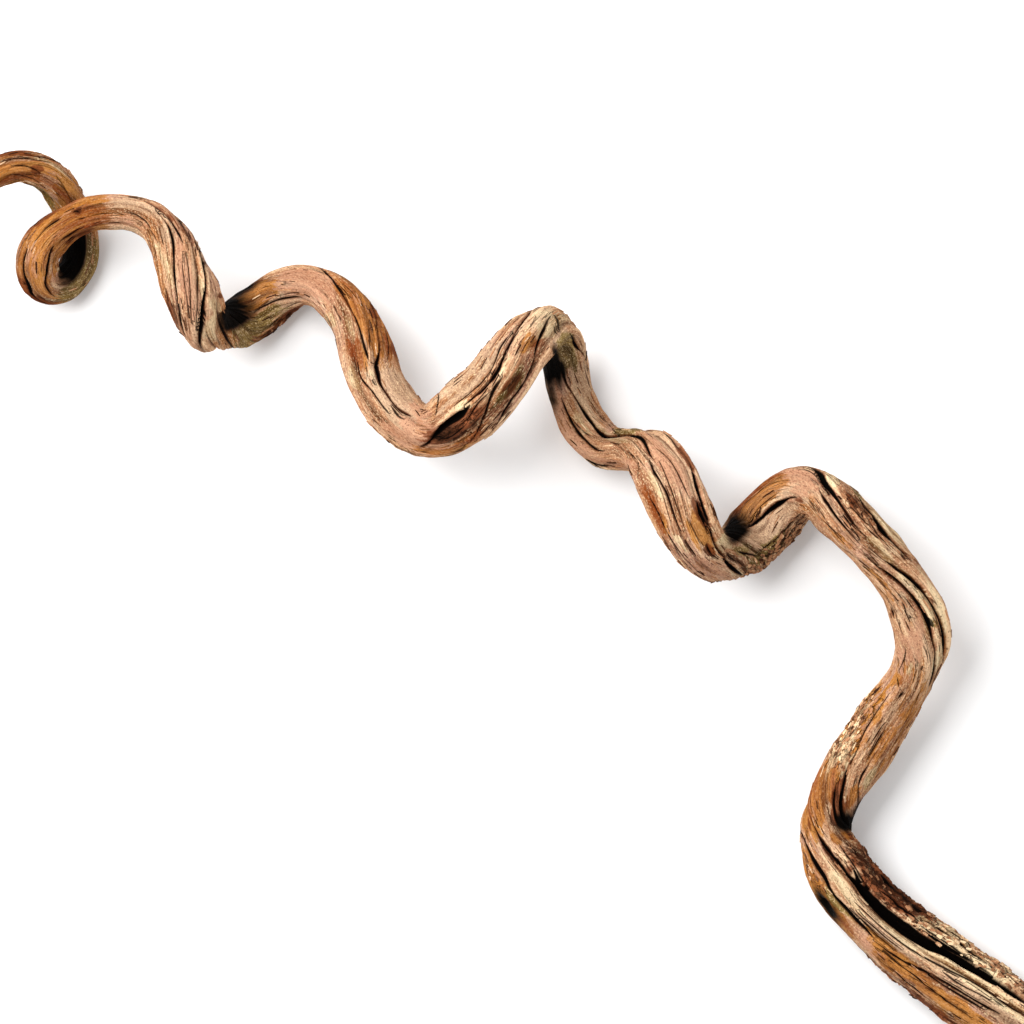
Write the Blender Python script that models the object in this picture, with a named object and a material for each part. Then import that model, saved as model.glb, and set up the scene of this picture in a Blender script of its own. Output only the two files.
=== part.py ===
"""Curly liana: one dried, unforked woody stem that grew in corkscrew turns.

The whole object is one closed solid. A lobed, slightly flattened section follows a curling
route, the main fissures are cut along the grain, and each end is a flat saw cut. The stem
lies on the ground as it was cut. Lengths are in millimetres until the mesh is made.
"""
import bmesh
import bpy
import numpy as np

COLLECTION = "curly_liana"
NODE = "liana_stem"
MM = 0.001

# The middle line of the stem, thin end first: x and y over the ground, height above it, the
# width seen from above, and how far the grain has turned round the stem, in degrees.
ROUTE = (
    (-285, 131, 62, 13.5, 0), (-276, 152, 58, 14.5, 0), (-262, 167, 51, 15.5, 0),
    (-245, 172.3, 43, 16, 20), (-230.5, 166.5, 33, 17, 45), (-222, 154.5, 22, 17, 70),
    (-216.5, 140.5, 14, 17, 80), (-217, 126, 9, 17, 80), (-223.5, 115.5, 12, 17, 70),
    (-232.5, 114, 20, 18, 40), (-237.5, 122, 29, 21, 8), (-235, 132.5, 35, 21, 0),
    (-225.5, 141.5, 37, 19, 2), (-212, 148.2, 37, 17, 0), (-194, 149.6, 39, 17.6, 0),
    (-178, 144.2, 46, 19, -10), (-166.6, 127.8, 54, 24.4, -50), (-159.8, 109.2, 57, 25.4, -82),
    (-154.4, 94.6, 48, 24.2, -118), (-146, 91.5, 33, 22, -215), (-136, 96, 19, 24, -300),
    (-121, 106.5, 12, 24, -310), (-106, 113.5, 17, 20, -340), (-92.3, 110.3, 27, 20.6, -365),
    (-80.5, 97.6, 34, 25, -392), (-72.3, 80.4, 36, 27.8, -418), (-66, 63.5, 37, 27.5, -431),
    (-56, 48.5, 40, 26, -426), (-41.4, 41, 47, 26.4, -424), (-25, 49.6, 58, 32.4, -424),
    (-9.5, 64, 64, 31.4, -422), (4, 81, 62, 29.6, -403), (15.5, 89.5, 50, 25, -362),
    (22.6, 87.2, 36, 23, -285), (27, 74.8, 22, 22, -270), (30.7, 57.2, 14, 22.6, -255),
    (37, 41.4, 14, 24, -240), (48, 32.2, 21, 22, -222), (59, 31, 31, 21, -208),
    (69.7, 27.2, 42, 27, -258), (79.2, 12.9, 51, 29.6, -265), (87.5, -4.5, 54, 29, -280),
    (96, -18, 48, 26, -290), (106, -22, 34, 25, -336), (117, -16.8, 20, 28.6, -436),
    (128.8, -4.9, 15, 31, -445), (140.5, 7.5, 19, 27, -455), (153, 8.8, 31, 24.6, -505),
    (165.4, -1.1, 40, 26.4, -537), (180.2, -16.2, 43, 25.4, -542), (194.3, -33.4, 41, 24.6, -520),
    (203.6, -50.6, 36, 27.2, -504), (204.5, -66.5, 31, 25.8, -474), (199.3, -84.2, 27, 22.8, -445),
    (189.2, -99.8, 24, 26, -442), (178, -117.5, 22, 27.8, -442), (166.3, -136, 21, 26.2, -430),
    (158.1, -157, 20, 25, -368), (162, -177.3, 19, 32, -325), (175.5, -195.5, 18, 33.2, -325),
    (193.5, -212.5, 17.5, 35, -322), (211, -226, 17.5, 37.5, -317), (231.5, -241, 17.5, 37.5, -308),
    (251.5, -255.5, 17.5, 37, -303), (274, -270, 17.5, 36.5, -300),
)
THICKNESS_SHARE = 0.88  # thickness over width: the stem is a little flattened

# Fused strands swell the section: waves round it, their phase in degrees, their share of it.
LOBES = ((2, 25, 0.03), (3, 80, 0.04), (5, 200, 0.04))

# Main fissures along the grain: grain angle in degrees, first and last point of the route,
# depth, and half the width of the groove in degrees.
FISSURES = (
    (15, 2, 5, 1.8, 15), (210, 0, 9, 1.6, 15), (330, 8, 12, 2.0, 15), (120, 6, 14, 1.6, 15),
    (30, 8, 12.5, 1.8, 15), (60, 13.5, 18.5, 2.2, 15), (105, 15.5, 20, 3.2, 15),
    (240, 13, 21, 2.2, 15), (330, 18, 26, 2.0, 15), (45, 22, 25, 1.6, 15), (75, 23.5, 32, 3.0, 15),
    (75, 27.6, 29.8, 4.5, 30), (210, 21, 31, 2.4, 15), (0, 29, 33.5, 2.8, 15),
    (135, 30, 38, 2.4, 15), (330, 32.5, 35, 2.2, 15), (255, 34, 43, 2.8, 15),
    (210, 35, 37.5, 2.0, 15), (315, 38, 44, 3.8, 15), (30, 37, 46, 2.4, 15), (90, 44, 46.6, 3.8, 15),
    (180, 46.4, 53, 3.4, 15), (150, 47, 53, 2.4, 15), (225, 47.6, 50, 2.8, 15),
    (330, 45, 55, 2.4, 15), (60, 55, 57.6, 3.8, 15), (195, 53, 64, 2.8, 15),
    (90, 57, 64, 3.0, 15), (300, 57, 64, 3.2, 15), (333, 56.6, 66, 8.5, 27),
)
FADE = 0.9  # route points over which a fissure opens and closes

RINGS_PER_POINT = 3
SIDES = 24

DRY_BARK = (0.42, 0.25, 0.15, 1.0)
DRY_BARK_ROUGHNESS = 0.75


def clear_scene():
    for item in list(bpy.data.objects):
        bpy.data.objects.remove(item, do_unlink=True)


def smooth_curve(knots, values, at):
    """Natural cubic spline through the values at the knots, read at other places."""
    span = np.diff(knots)
    slope = np.diff(values) / span
    count = len(knots)
    system = np.eye(count)
    right = np.zeros(count)
    for i in range(1, count - 1):
        system[i, i - 1:i + 2] = (span[i - 1], 2 * (span[i - 1] + span[i]), span[i])
        right[i] = 6 * (slope[i] - slope[i - 1])
    bend = np.linalg.solve(system, right)
    i = np.clip(np.searchsorted(knots, at, side="right") - 1, 0, count - 2)
    before = at - knots[i]
    after = knots[i + 1] - at
    curved = (bend[i] * after ** 3 + bend[i + 1] * before ** 3) / (6 * span[i])
    straight = (values[i] / span[i] - bend[i] * span[i] / 6) * after
    return curved + straight + (values[i + 1] / span[i] - bend[i + 1] * span[i] / 6) * before


def route_at(points):
    """Middle line, its direction, half the width and the grain's turn at points of the route."""
    table = np.array(ROUTE, dtype=float)
    steps = np.linalg.norm(np.diff(table[:, :3], axis=0), axis=1)
    knots = np.concatenate(([0.0], np.cumsum(np.sqrt(steps))))
    at = np.interp(points, np.arange(len(knots)), knots)
    small = 0.01
    middle = np.column_stack([smooth_curve(knots, table[:, axis], at) for axis in range(3)])
    ahead = np.column_stack([smooth_curve(knots, table[:, axis], at + small) for axis in range(3)])
    direction = ahead - middle
    direction /= np.linalg.norm(direction, axis=1)[:, None]
    half_width = smooth_curve(knots, table[:, 3], at) / 2
    grain_turn = np.radians(smooth_curve(knots, table[:, 4], at))
    return middle, direction, half_width, grain_turn


def lobed(grain):
    """Radius of the section as a share of the plain oval, at angles counted from the grain."""
    swell = np.ones_like(grain)
    for waves, phase, share in LOBES:
        swell += share * np.cos(waves * (grain - np.radians(phase)))
    return swell


def fissure_depth(points, grain):
    """How far the fissures cut below the lobes, in millimetres."""
    depth = np.zeros(np.broadcast(points, grain).shape)
    for angle, first, last, deepest, half_angle in FISSURES:
        aside = np.degrees(np.abs((grain - np.radians(angle) + np.pi) % (2 * np.pi) - np.pi))
        across = np.clip(1 - aside / half_angle, 0, 1)
        along = np.clip(np.minimum(points - first, last - points) / FADE, 0, 1)
        depth = np.maximum(depth, deepest * across * along)
    return depth


def stem_surface(points, columns):
    """Rings of points on the stem. The columns run along the grain, as the fissures do."""
    middle, direction, half_width, grain_turn = route_at(points)
    side = np.column_stack([-direction[:, 1], direction[:, 0], np.zeros(len(points))])
    side /= np.linalg.norm(side, axis=1)[:, None]
    top = np.cross(direction, side)
    grain = np.broadcast_to(columns[None, :], (len(points), len(columns)))
    angle = grain + grain_turn[:, None]
    across = np.sin(angle) * half_width[:, None]
    upward = np.cos(angle) * half_width[:, None] * THICKNESS_SHARE
    radius = np.hypot(across, upward)
    kept = lobed(grain) - fissure_depth(points[:, None], grain) / radius
    outward = across[..., None] * side[:, None, :] + upward[..., None] * top[:, None, :]
    return middle[:, None, :] + outward * kept[..., None]


def stand_on_ground(surface):
    """Move the stem so that the middle of its box's underside is the origin."""
    low = surface.reshape(-1, 3).min(axis=0)
    high = surface.reshape(-1, 3).max(axis=0)
    return surface - np.array([(low[0] + high[0]) / 2, (low[1] + high[1]) / 2, low[2]])


def bark_material():
    material = bpy.data.materials.new("liana_bark")
    material.use_nodes = True
    shader = material.node_tree.nodes["Principled BSDF"]
    shader.inputs["Base Color"].default_value = DRY_BARK
    shader.inputs["Roughness"].default_value = DRY_BARK_ROUGHNESS
    shader.inputs["Metallic"].default_value = 0.0
    return material


def make_stem(collection):
    """Loft the lobed rings into one solid with a flat saw cut at each end."""
    points = np.linspace(0, len(ROUTE) - 1, (len(ROUTE) - 1) * RINGS_PER_POINT + 1)
    columns = np.linspace(0, 2 * np.pi, SIDES, endpoint=False)
    surface = stand_on_ground(stem_surface(points, columns)) * MM
    solid = bmesh.new()
    rings = [[solid.verts.new(place) for place in ring] for ring in surface]
    for ring, following in zip(rings, rings[1:]):
        for i in range(SIDES):
            j = (i + 1) % SIDES
            solid.faces.new((ring[i], ring[j], following[j], following[i]))
    thin_cut = solid.faces.new(list(reversed(rings[0])))
    thick_cut = solid.faces.new(rings[-1])
    bmesh.ops.recalc_face_normals(solid, faces=solid.faces)
    bmesh.ops.triangulate(solid, faces=[thin_cut, thick_cut])
    mesh = bpy.data.meshes.new(NODE)
    solid.to_mesh(mesh)
    solid.free()
    mesh.shade_smooth()
    mesh.materials.append(bark_material())
    stem = bpy.data.objects.new(NODE, mesh)
    collection.objects.link(stem)
    return stem


def main():
    clear_scene()
    collection = bpy.data.collections.new(COLLECTION)
    bpy.context.scene.collection.children.link(collection)
    make_stem(collection)


main()
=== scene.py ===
# %% [markdown]
# # A curly liana, dried and cut
#
# A liana is a woody climber. This one grew in corkscrew turns round a support that is gone, so
# nothing but the curl is left. It is one grown piece: it has no fork, no leaf and no holder. The
# lesson first lays down the route of the stem, then its section, its fissures and its stains, and
# only then the finish. Whoever changes one list sees what it did to the whole stem.

import bpy
import numpy as np
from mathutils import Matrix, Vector


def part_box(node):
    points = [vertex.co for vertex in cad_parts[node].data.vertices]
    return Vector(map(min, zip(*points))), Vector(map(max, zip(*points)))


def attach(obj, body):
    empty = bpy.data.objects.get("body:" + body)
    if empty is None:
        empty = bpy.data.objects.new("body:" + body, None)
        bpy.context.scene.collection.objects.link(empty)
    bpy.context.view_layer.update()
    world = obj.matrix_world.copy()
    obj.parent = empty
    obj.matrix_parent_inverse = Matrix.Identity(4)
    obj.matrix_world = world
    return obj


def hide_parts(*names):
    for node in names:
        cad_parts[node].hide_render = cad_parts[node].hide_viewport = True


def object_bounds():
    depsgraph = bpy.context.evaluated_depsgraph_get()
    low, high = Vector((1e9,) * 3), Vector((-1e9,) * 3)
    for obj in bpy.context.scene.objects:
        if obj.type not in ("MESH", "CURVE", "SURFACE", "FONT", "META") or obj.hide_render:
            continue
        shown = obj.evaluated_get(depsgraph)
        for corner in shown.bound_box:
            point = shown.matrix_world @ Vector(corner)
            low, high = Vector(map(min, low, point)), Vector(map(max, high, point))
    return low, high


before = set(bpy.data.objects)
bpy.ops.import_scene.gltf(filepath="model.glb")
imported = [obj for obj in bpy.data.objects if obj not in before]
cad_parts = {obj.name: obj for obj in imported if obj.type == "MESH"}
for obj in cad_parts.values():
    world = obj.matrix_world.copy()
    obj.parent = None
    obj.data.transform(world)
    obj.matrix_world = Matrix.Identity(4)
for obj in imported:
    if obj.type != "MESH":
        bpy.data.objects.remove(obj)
cad_low, cad_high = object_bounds()
MM = 0.001
print("the solid measures", [round((high - low) / MM) for low, high in zip(cad_low, cad_high)], "mm")

# %% [markdown]
# ## The route of the stem
#
# The real stem winds past its support in front and behind by turns. A curve object with a bevel
# would give a round pipe, and a pipe can't carry lobes and fissures. So the route is a short list
# of places, thin end first, and a natural cubic spline carries a section along it.
# Each place holds x, y and height, the width seen from above, and how far the grain has turned
# round the stem: on a twisted climber the fibres run round it, not straight along.

# %% The route, in millimetres and degrees
ROUTE = (
    (-285, 131, 62, 13.5, 0), (-276, 152, 58, 14.5, 0), (-262, 167, 51, 15.5, 0),
    (-245, 172.3, 43, 16, 20), (-230.5, 166.5, 33, 17, 45), (-222, 154.5, 22, 17, 70),
    (-216.5, 140.5, 14, 17, 80), (-217, 126, 9, 17, 80), (-223.5, 115.5, 12, 17, 70),
    (-232.5, 114, 20, 18, 40), (-237.5, 122, 29, 21, 8), (-235, 132.5, 35, 21, 0),
    (-225.5, 141.5, 37, 19, 2), (-212, 148.2, 37, 17, 0), (-194, 149.6, 39, 17.6, 0),
    (-178, 144.2, 46, 19, -10), (-166.6, 127.8, 54, 24.4, -50), (-159.8, 109.2, 57, 25.4, -82),
    (-154.4, 94.6, 48, 24.2, -118), (-146, 91.5, 33, 22, -215), (-136, 96, 19, 24, -300),
    (-121, 106.5, 12, 24, -310), (-106, 113.5, 17, 20, -340), (-92.3, 110.3, 27, 20.6, -365),
    (-80.5, 97.6, 34, 25, -392), (-72.3, 80.4, 36, 27.8, -418), (-66, 63.5, 37, 27.5, -431),
    (-56, 48.5, 40, 26, -426), (-41.4, 41, 47, 26.4, -424), (-25, 49.6, 58, 32.4, -424),
    (-9.5, 64, 64, 31.4, -422), (4, 81, 62, 29.6, -403), (15.5, 89.5, 50, 25, -362),
    (22.6, 87.2, 36, 23, -285), (27, 74.8, 22, 22, -270), (30.7, 57.2, 14, 22.6, -255),
    (37, 41.4, 14, 24, -240), (48, 32.2, 21, 22, -222), (59, 31, 31, 21, -208),
    (69.7, 27.2, 42, 27, -258), (79.2, 12.9, 51, 29.6, -265), (87.5, -4.5, 54, 29, -280),
    (96, -18, 48, 26, -290), (106, -22, 34, 25, -336), (117, -16.8, 20, 28.6, -436),
    (128.8, -4.9, 15, 31, -445), (140.5, 7.5, 19, 27, -455), (153, 8.8, 31, 24.6, -505),
    (165.4, -1.1, 40, 26.4, -537), (180.2, -16.2, 43, 25.4, -542), (194.3, -33.4, 41, 24.6, -520),
    (203.6, -50.6, 36, 27.2, -504), (204.5, -66.5, 31, 25.8, -474), (199.3, -84.2, 27, 22.8, -445),
    (189.2, -99.8, 24, 26, -442), (178, -117.5, 22, 27.8, -442), (166.3, -136, 21, 26.2, -430),
    (158.1, -157, 20, 25, -368), (162, -177.3, 19, 32, -325), (175.5, -195.5, 18, 33.2, -325),
    (193.5, -212.5, 17.5, 35, -322), (211, -226, 17.5, 37.5, -317), (231.5, -241, 17.5, 37.5, -308),
    (251.5, -255.5, 17.5, 37, -303), (274, -270, 17.5, 36.5, -300),
)
THICKNESS_SHARE = 0.88  # thickness over width: the stem is a little flattened
AHEAD = 0.01  # step along the spline from which its direction is taken
DENSITY = 20  # places for each point of the route, where the route is read as a line

# %% Reading the route as a smooth curve
def smooth_curve(knots, values, at):
    """Natural cubic spline through the values at the knots, read at other places."""
    span = np.diff(knots)
    slope = np.diff(values) / span
    count = len(knots)
    system = np.eye(count)
    right = np.zeros(count)
    for i in range(1, count - 1):
        system[i, i - 1:i + 2] = (span[i - 1], 2 * (span[i - 1] + span[i]), span[i])
        right[i] = 6 * (slope[i] - slope[i - 1])
    bend = np.linalg.solve(system, right)
    i = np.clip(np.searchsorted(knots, at, side="right") - 1, 0, count - 2)
    before = at - knots[i]
    after = knots[i + 1] - at
    curved = (bend[i] * after ** 3 + bend[i + 1] * before ** 3) / (6 * span[i])
    straight = (values[i] / span[i] - bend[i] * span[i] / 6) * after
    return curved + straight + (values[i + 1] / span[i] - bend[i + 1] * span[i] / 6) * before


def route_at(points):
    """Middle line, its direction, half the width and the grain's turn at points of the route."""
    table = np.array(ROUTE, dtype=float)
    steps = np.linalg.norm(np.diff(table[:, :3], axis=0), axis=1)
    knots = np.concatenate(([0.0], np.cumsum(np.sqrt(steps))))
    at = np.interp(points, np.arange(len(knots)), knots)
    middle = np.column_stack([smooth_curve(knots, table[:, axis], at) for axis in range(3)])
    ahead = np.column_stack([smooth_curve(knots, table[:, axis], at + AHEAD) for axis in range(3)])
    direction = ahead - middle
    direction /= np.linalg.norm(direction, axis=1)[:, None]
    half_width = smooth_curve(knots, table[:, 3], at) / 2
    grain_turn = np.radians(smooth_curve(knots, table[:, 4], at))
    return middle, direction, half_width, grain_turn


def length_so_far(line):
    """Length of a line of points up to each of them."""
    return np.concatenate(([0.0], np.cumsum(np.linalg.norm(np.diff(line, axis=0), axis=1))))


LAST_POINT = len(ROUTE) - 1
DENSE_POINTS = np.linspace(0, LAST_POINT, DENSITY * LAST_POINT + 1)
dense_middle, _, dense_half_width, _ = route_at(DENSE_POINTS)
DENSE_LENGTH = length_so_far(dense_middle)
print(f"unrolled, the stem is {DENSE_LENGTH[-1] * MM:.2f} m long")

# %% [markdown]
# ## The section of the stem
#
# Cut across, the stem is an oval with low lobes, the strands that fused as it aged. A lobe could
# be modelled strand by strand, but the joints between strands would show. Waves round the oval
# give the same swelling in one line each. The main fissures lie where two lobes meet, and they
# run with the grain, so each is one grain angle and a stretch of the route.

# %% Lobes and main fissures, as in the solid
LOBES = ((2, 25, 0.03), (3, 80, 0.04), (5, 200, 0.04))  # waves round, phase in degrees, share

# Grain angle in degrees, first and last point of the route, depth, half the width in degrees.
FISSURES = (
    (15, 2, 5, 1.8, 15), (210, 0, 9, 1.6, 15), (330, 8, 12, 2.0, 15), (120, 6, 14, 1.6, 15),
    (30, 8, 12.5, 1.8, 15), (60, 13.5, 18.5, 2.2, 15), (105, 15.5, 20, 3.2, 15),
    (240, 13, 21, 2.2, 15), (330, 18, 26, 2.0, 15), (45, 22, 25, 1.6, 15), (75, 23.5, 32, 3.0, 15),
    (75, 27.6, 29.8, 4.5, 30), (210, 21, 31, 2.4, 15), (0, 29, 33.5, 2.8, 15),
    (135, 30, 38, 2.4, 15), (330, 32.5, 35, 2.2, 15), (255, 34, 43, 2.8, 15),
    (210, 35, 37.5, 2.0, 15), (315, 38, 44, 3.8, 15), (30, 37, 46, 2.4, 15), (90, 44, 46.6, 3.8, 15),
    (180, 46.4, 53, 3.4, 15), (150, 47, 53, 2.4, 15), (225, 47.6, 50, 2.8, 15),
    (330, 45, 55, 2.4, 15), (60, 55, 57.6, 3.8, 15), (195, 53, 64, 2.8, 15),
    (90, 57, 64, 3.0, 15), (300, 57, 64, 3.2, 15), (333, 56.6, 66, 8.5, 27),
)
FADE = 0.9  # route points over which a fissure opens and closes


def lobed(grain):
    """Radius of the section as a share of the plain oval, at angles counted from the grain."""
    swell = np.ones_like(grain)
    for waves, phase, share in LOBES:
        swell += share * np.cos(waves * (grain - np.radians(phase)))
    return swell


def angle_between(grain, angle):
    """Degrees from one angle round the stem to another, the short way."""
    return np.degrees((grain - np.radians(angle) + np.pi) % (2 * np.pi) - np.pi)


def main_fissure_depth(points, grain):
    """How far the main fissures cut below the lobes, in millimetres."""
    depth = np.zeros(np.broadcast(points, grain).shape)
    for angle, first, last, deepest, half_angle in FISSURES:
        across = np.clip(1 - np.abs(angle_between(grain, angle)) / half_angle, 0, 1)
        along = np.clip(np.minimum(points - first, last - points) / FADE, 0, 1)
        depth = np.maximum(depth, deepest * across * along)
    return depth


def oval(points, columns):
    """Middle of each ring and the way out to the plain oval, for columns that follow the grain."""
    middle, direction, half_width, grain_turn = route_at(points)
    side = np.column_stack([-direction[:, 1], direction[:, 0], np.zeros(len(points))])
    side /= np.linalg.norm(side, axis=1)[:, None]
    top = np.cross(direction, side)
    grain = np.broadcast_to(columns[None, :], (len(points), len(columns)))
    angle = grain + grain_turn[:, None]
    across = np.sin(angle) * half_width[:, None]
    upward = np.cos(angle) * half_width[:, None] * THICKNESS_SHARE
    outward = across[..., None] * side[:, None, :] + upward[..., None] * top[:, None, :]
    return middle, outward, grain, angle


# %% [markdown]
# ## Setting the route where the solid lies
#
# The route's own zero is the middle of the picture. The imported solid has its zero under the
# middle of its box. The same coarse rings as the solid's, measured here, say how far apart the
# two are, so nothing is placed by eye.

# %% From the route's place to the frame's
SOLID_RINGS = 3  # rings of the solid for each point of the route
SOLID_SIDES = 24


def coarse_stem():
    """The solid's own rings, in the route's place."""
    points = np.linspace(0, LAST_POINT, SOLID_RINGS * LAST_POINT + 1)
    columns = np.linspace(0, 2 * np.pi, SOLID_SIDES, endpoint=False)
    middle, outward, grain, angle = oval(points, columns)
    radius = np.linalg.norm(outward, axis=2)
    kept = lobed(grain) - main_fissure_depth(points[:, None], grain) / radius
    return (middle[:, None, :] + outward * kept[..., None]).reshape(-1, 3)


rings = coarse_stem()
stem_low, stem_high = (np.array(corner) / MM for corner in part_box("liana_stem"))
to_frame = (stem_low + stem_high) / 2 - (rings.min(axis=0) + rings.max(axis=0)) / 2
misfit = np.abs((stem_high - stem_low) - (rings.max(axis=0) - rings.min(axis=0))).max()
print("route to frame:", np.round(to_frame, 2), "mm, misfit", round(float(misfit), 3), "mm")

# %% [markdown]
# ## Camera, floor and light
#
# The photograph looks at the curls from straight in front of them. The stem can't hang in the
# air, so it lies on a pale floor and the camera looks down. A very long lens keeps high and low
# curls at one scale. The main light is a large soft box at the upper left, as in a studio. The
# one opposite is weak, so that the crooks behind each curl stay dark.

# %% The camera over the middle of the picture
PICTURE_SPAN = 512.0  # width of the view on the stem, in millimetres
FOCUS_HEIGHT = 35.0  # height at which the view is that wide
LENS = 400.0
SENSOR = 36.0
FARTHEST = 100.0  # metres, past which the camera sees nothing


def make_camera():
    """A camera straight above the middle of the picture."""
    lens = bpy.data.cameras.new("camera")
    lens.lens = LENS
    lens.sensor_width = SENSOR
    lens.clip_end = FARTHEST
    camera = bpy.data.objects.new("camera", lens)
    bpy.context.scene.collection.objects.link(camera)
    distance = PICTURE_SPAN * LENS / SENSOR
    camera.location = Vector((to_frame[0], to_frame[1], FOCUS_HEIGHT + distance)) * MM
    bpy.context.scene.camera = camera
    return camera


camera = make_camera()
print("the camera is", round(camera.location.z, 2), "m above the floor")


# %% Floor and lights
FLOOR_HALF = 4.0  # metres
FLOOR_ROUGHNESS = 0.9
PAPER_WHITE = (246, 246, 246)
WALL_LIGHT = 0.6

# Name, place and side in metres, power in watts.
SOFT_BOXES = (
    ("soft_box_left", (-1.25, 0.9, 1.75), 1.9, 84),
    ("soft_box_right", (1.5, 0.2, 1.6), 1.4, 8),
)


def srgb(red, green, blue):
    """A colour as a painter reads it from a screen, 0 to 255, as the shader's linear one."""
    parts = np.array([red, green, blue]) / 255
    linear = np.where(parts <= 0.04045, parts / 12.92, ((parts + 0.055) / 1.055) ** 2.4)
    return (*(float(part) for part in linear), 1.0)


def make_floor():
    """A plain sheet of white paper under the stem."""
    mesh = bpy.data.meshes.new("floor")
    corners = [(x * FLOOR_HALF, y * FLOOR_HALF, 0) for x, y in ((-1, -1), (1, -1), (1, 1), (-1, 1))]
    mesh.from_pydata(corners, [], [(0, 1, 2, 3)])
    paper = bpy.data.materials.new("white_paper")
    paper.use_nodes = True
    shader = paper.node_tree.nodes["Principled BSDF"]
    shader.inputs["Base Color"].default_value = srgb(*PAPER_WHITE)
    shader.inputs["Roughness"].default_value = FLOOR_ROUGHNESS
    mesh.materials.append(paper)
    floor = bpy.data.objects.new("floor", mesh)
    bpy.context.scene.collection.objects.link(floor)
    return floor


def make_light(name, place, size, watts):
    """A square soft box that faces the middle of the stem."""
    lamp = bpy.data.lights.new(name, "AREA")
    lamp.size = size
    lamp.energy = watts
    light = bpy.data.objects.new(name, lamp)
    bpy.context.scene.collection.objects.link(light)
    light.location = place
    light.rotation_euler = (Vector((0, 0, 0)) - Vector(place)).to_track_quat("-Z", "Y").to_euler()
    return light


def make_walls(strength):
    """Even light from all round, as from pale walls."""
    world = bpy.data.worlds.new("studio_walls")
    bpy.context.scene.world = world
    world.use_nodes = True
    walls = world.node_tree.nodes["Background"]
    walls.inputs["Color"].default_value = srgb(255, 255, 255)
    walls.inputs["Strength"].default_value = strength


floor = make_floor()
for soft_box in SOFT_BOXES:
    make_light(*soft_box)
make_walls(WALL_LIGHT)
bpy.context.scene.view_settings.view_transform = "Standard"
print("floor,", len(SOFT_BOXES), "soft boxes and pale walls are in place")
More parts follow.
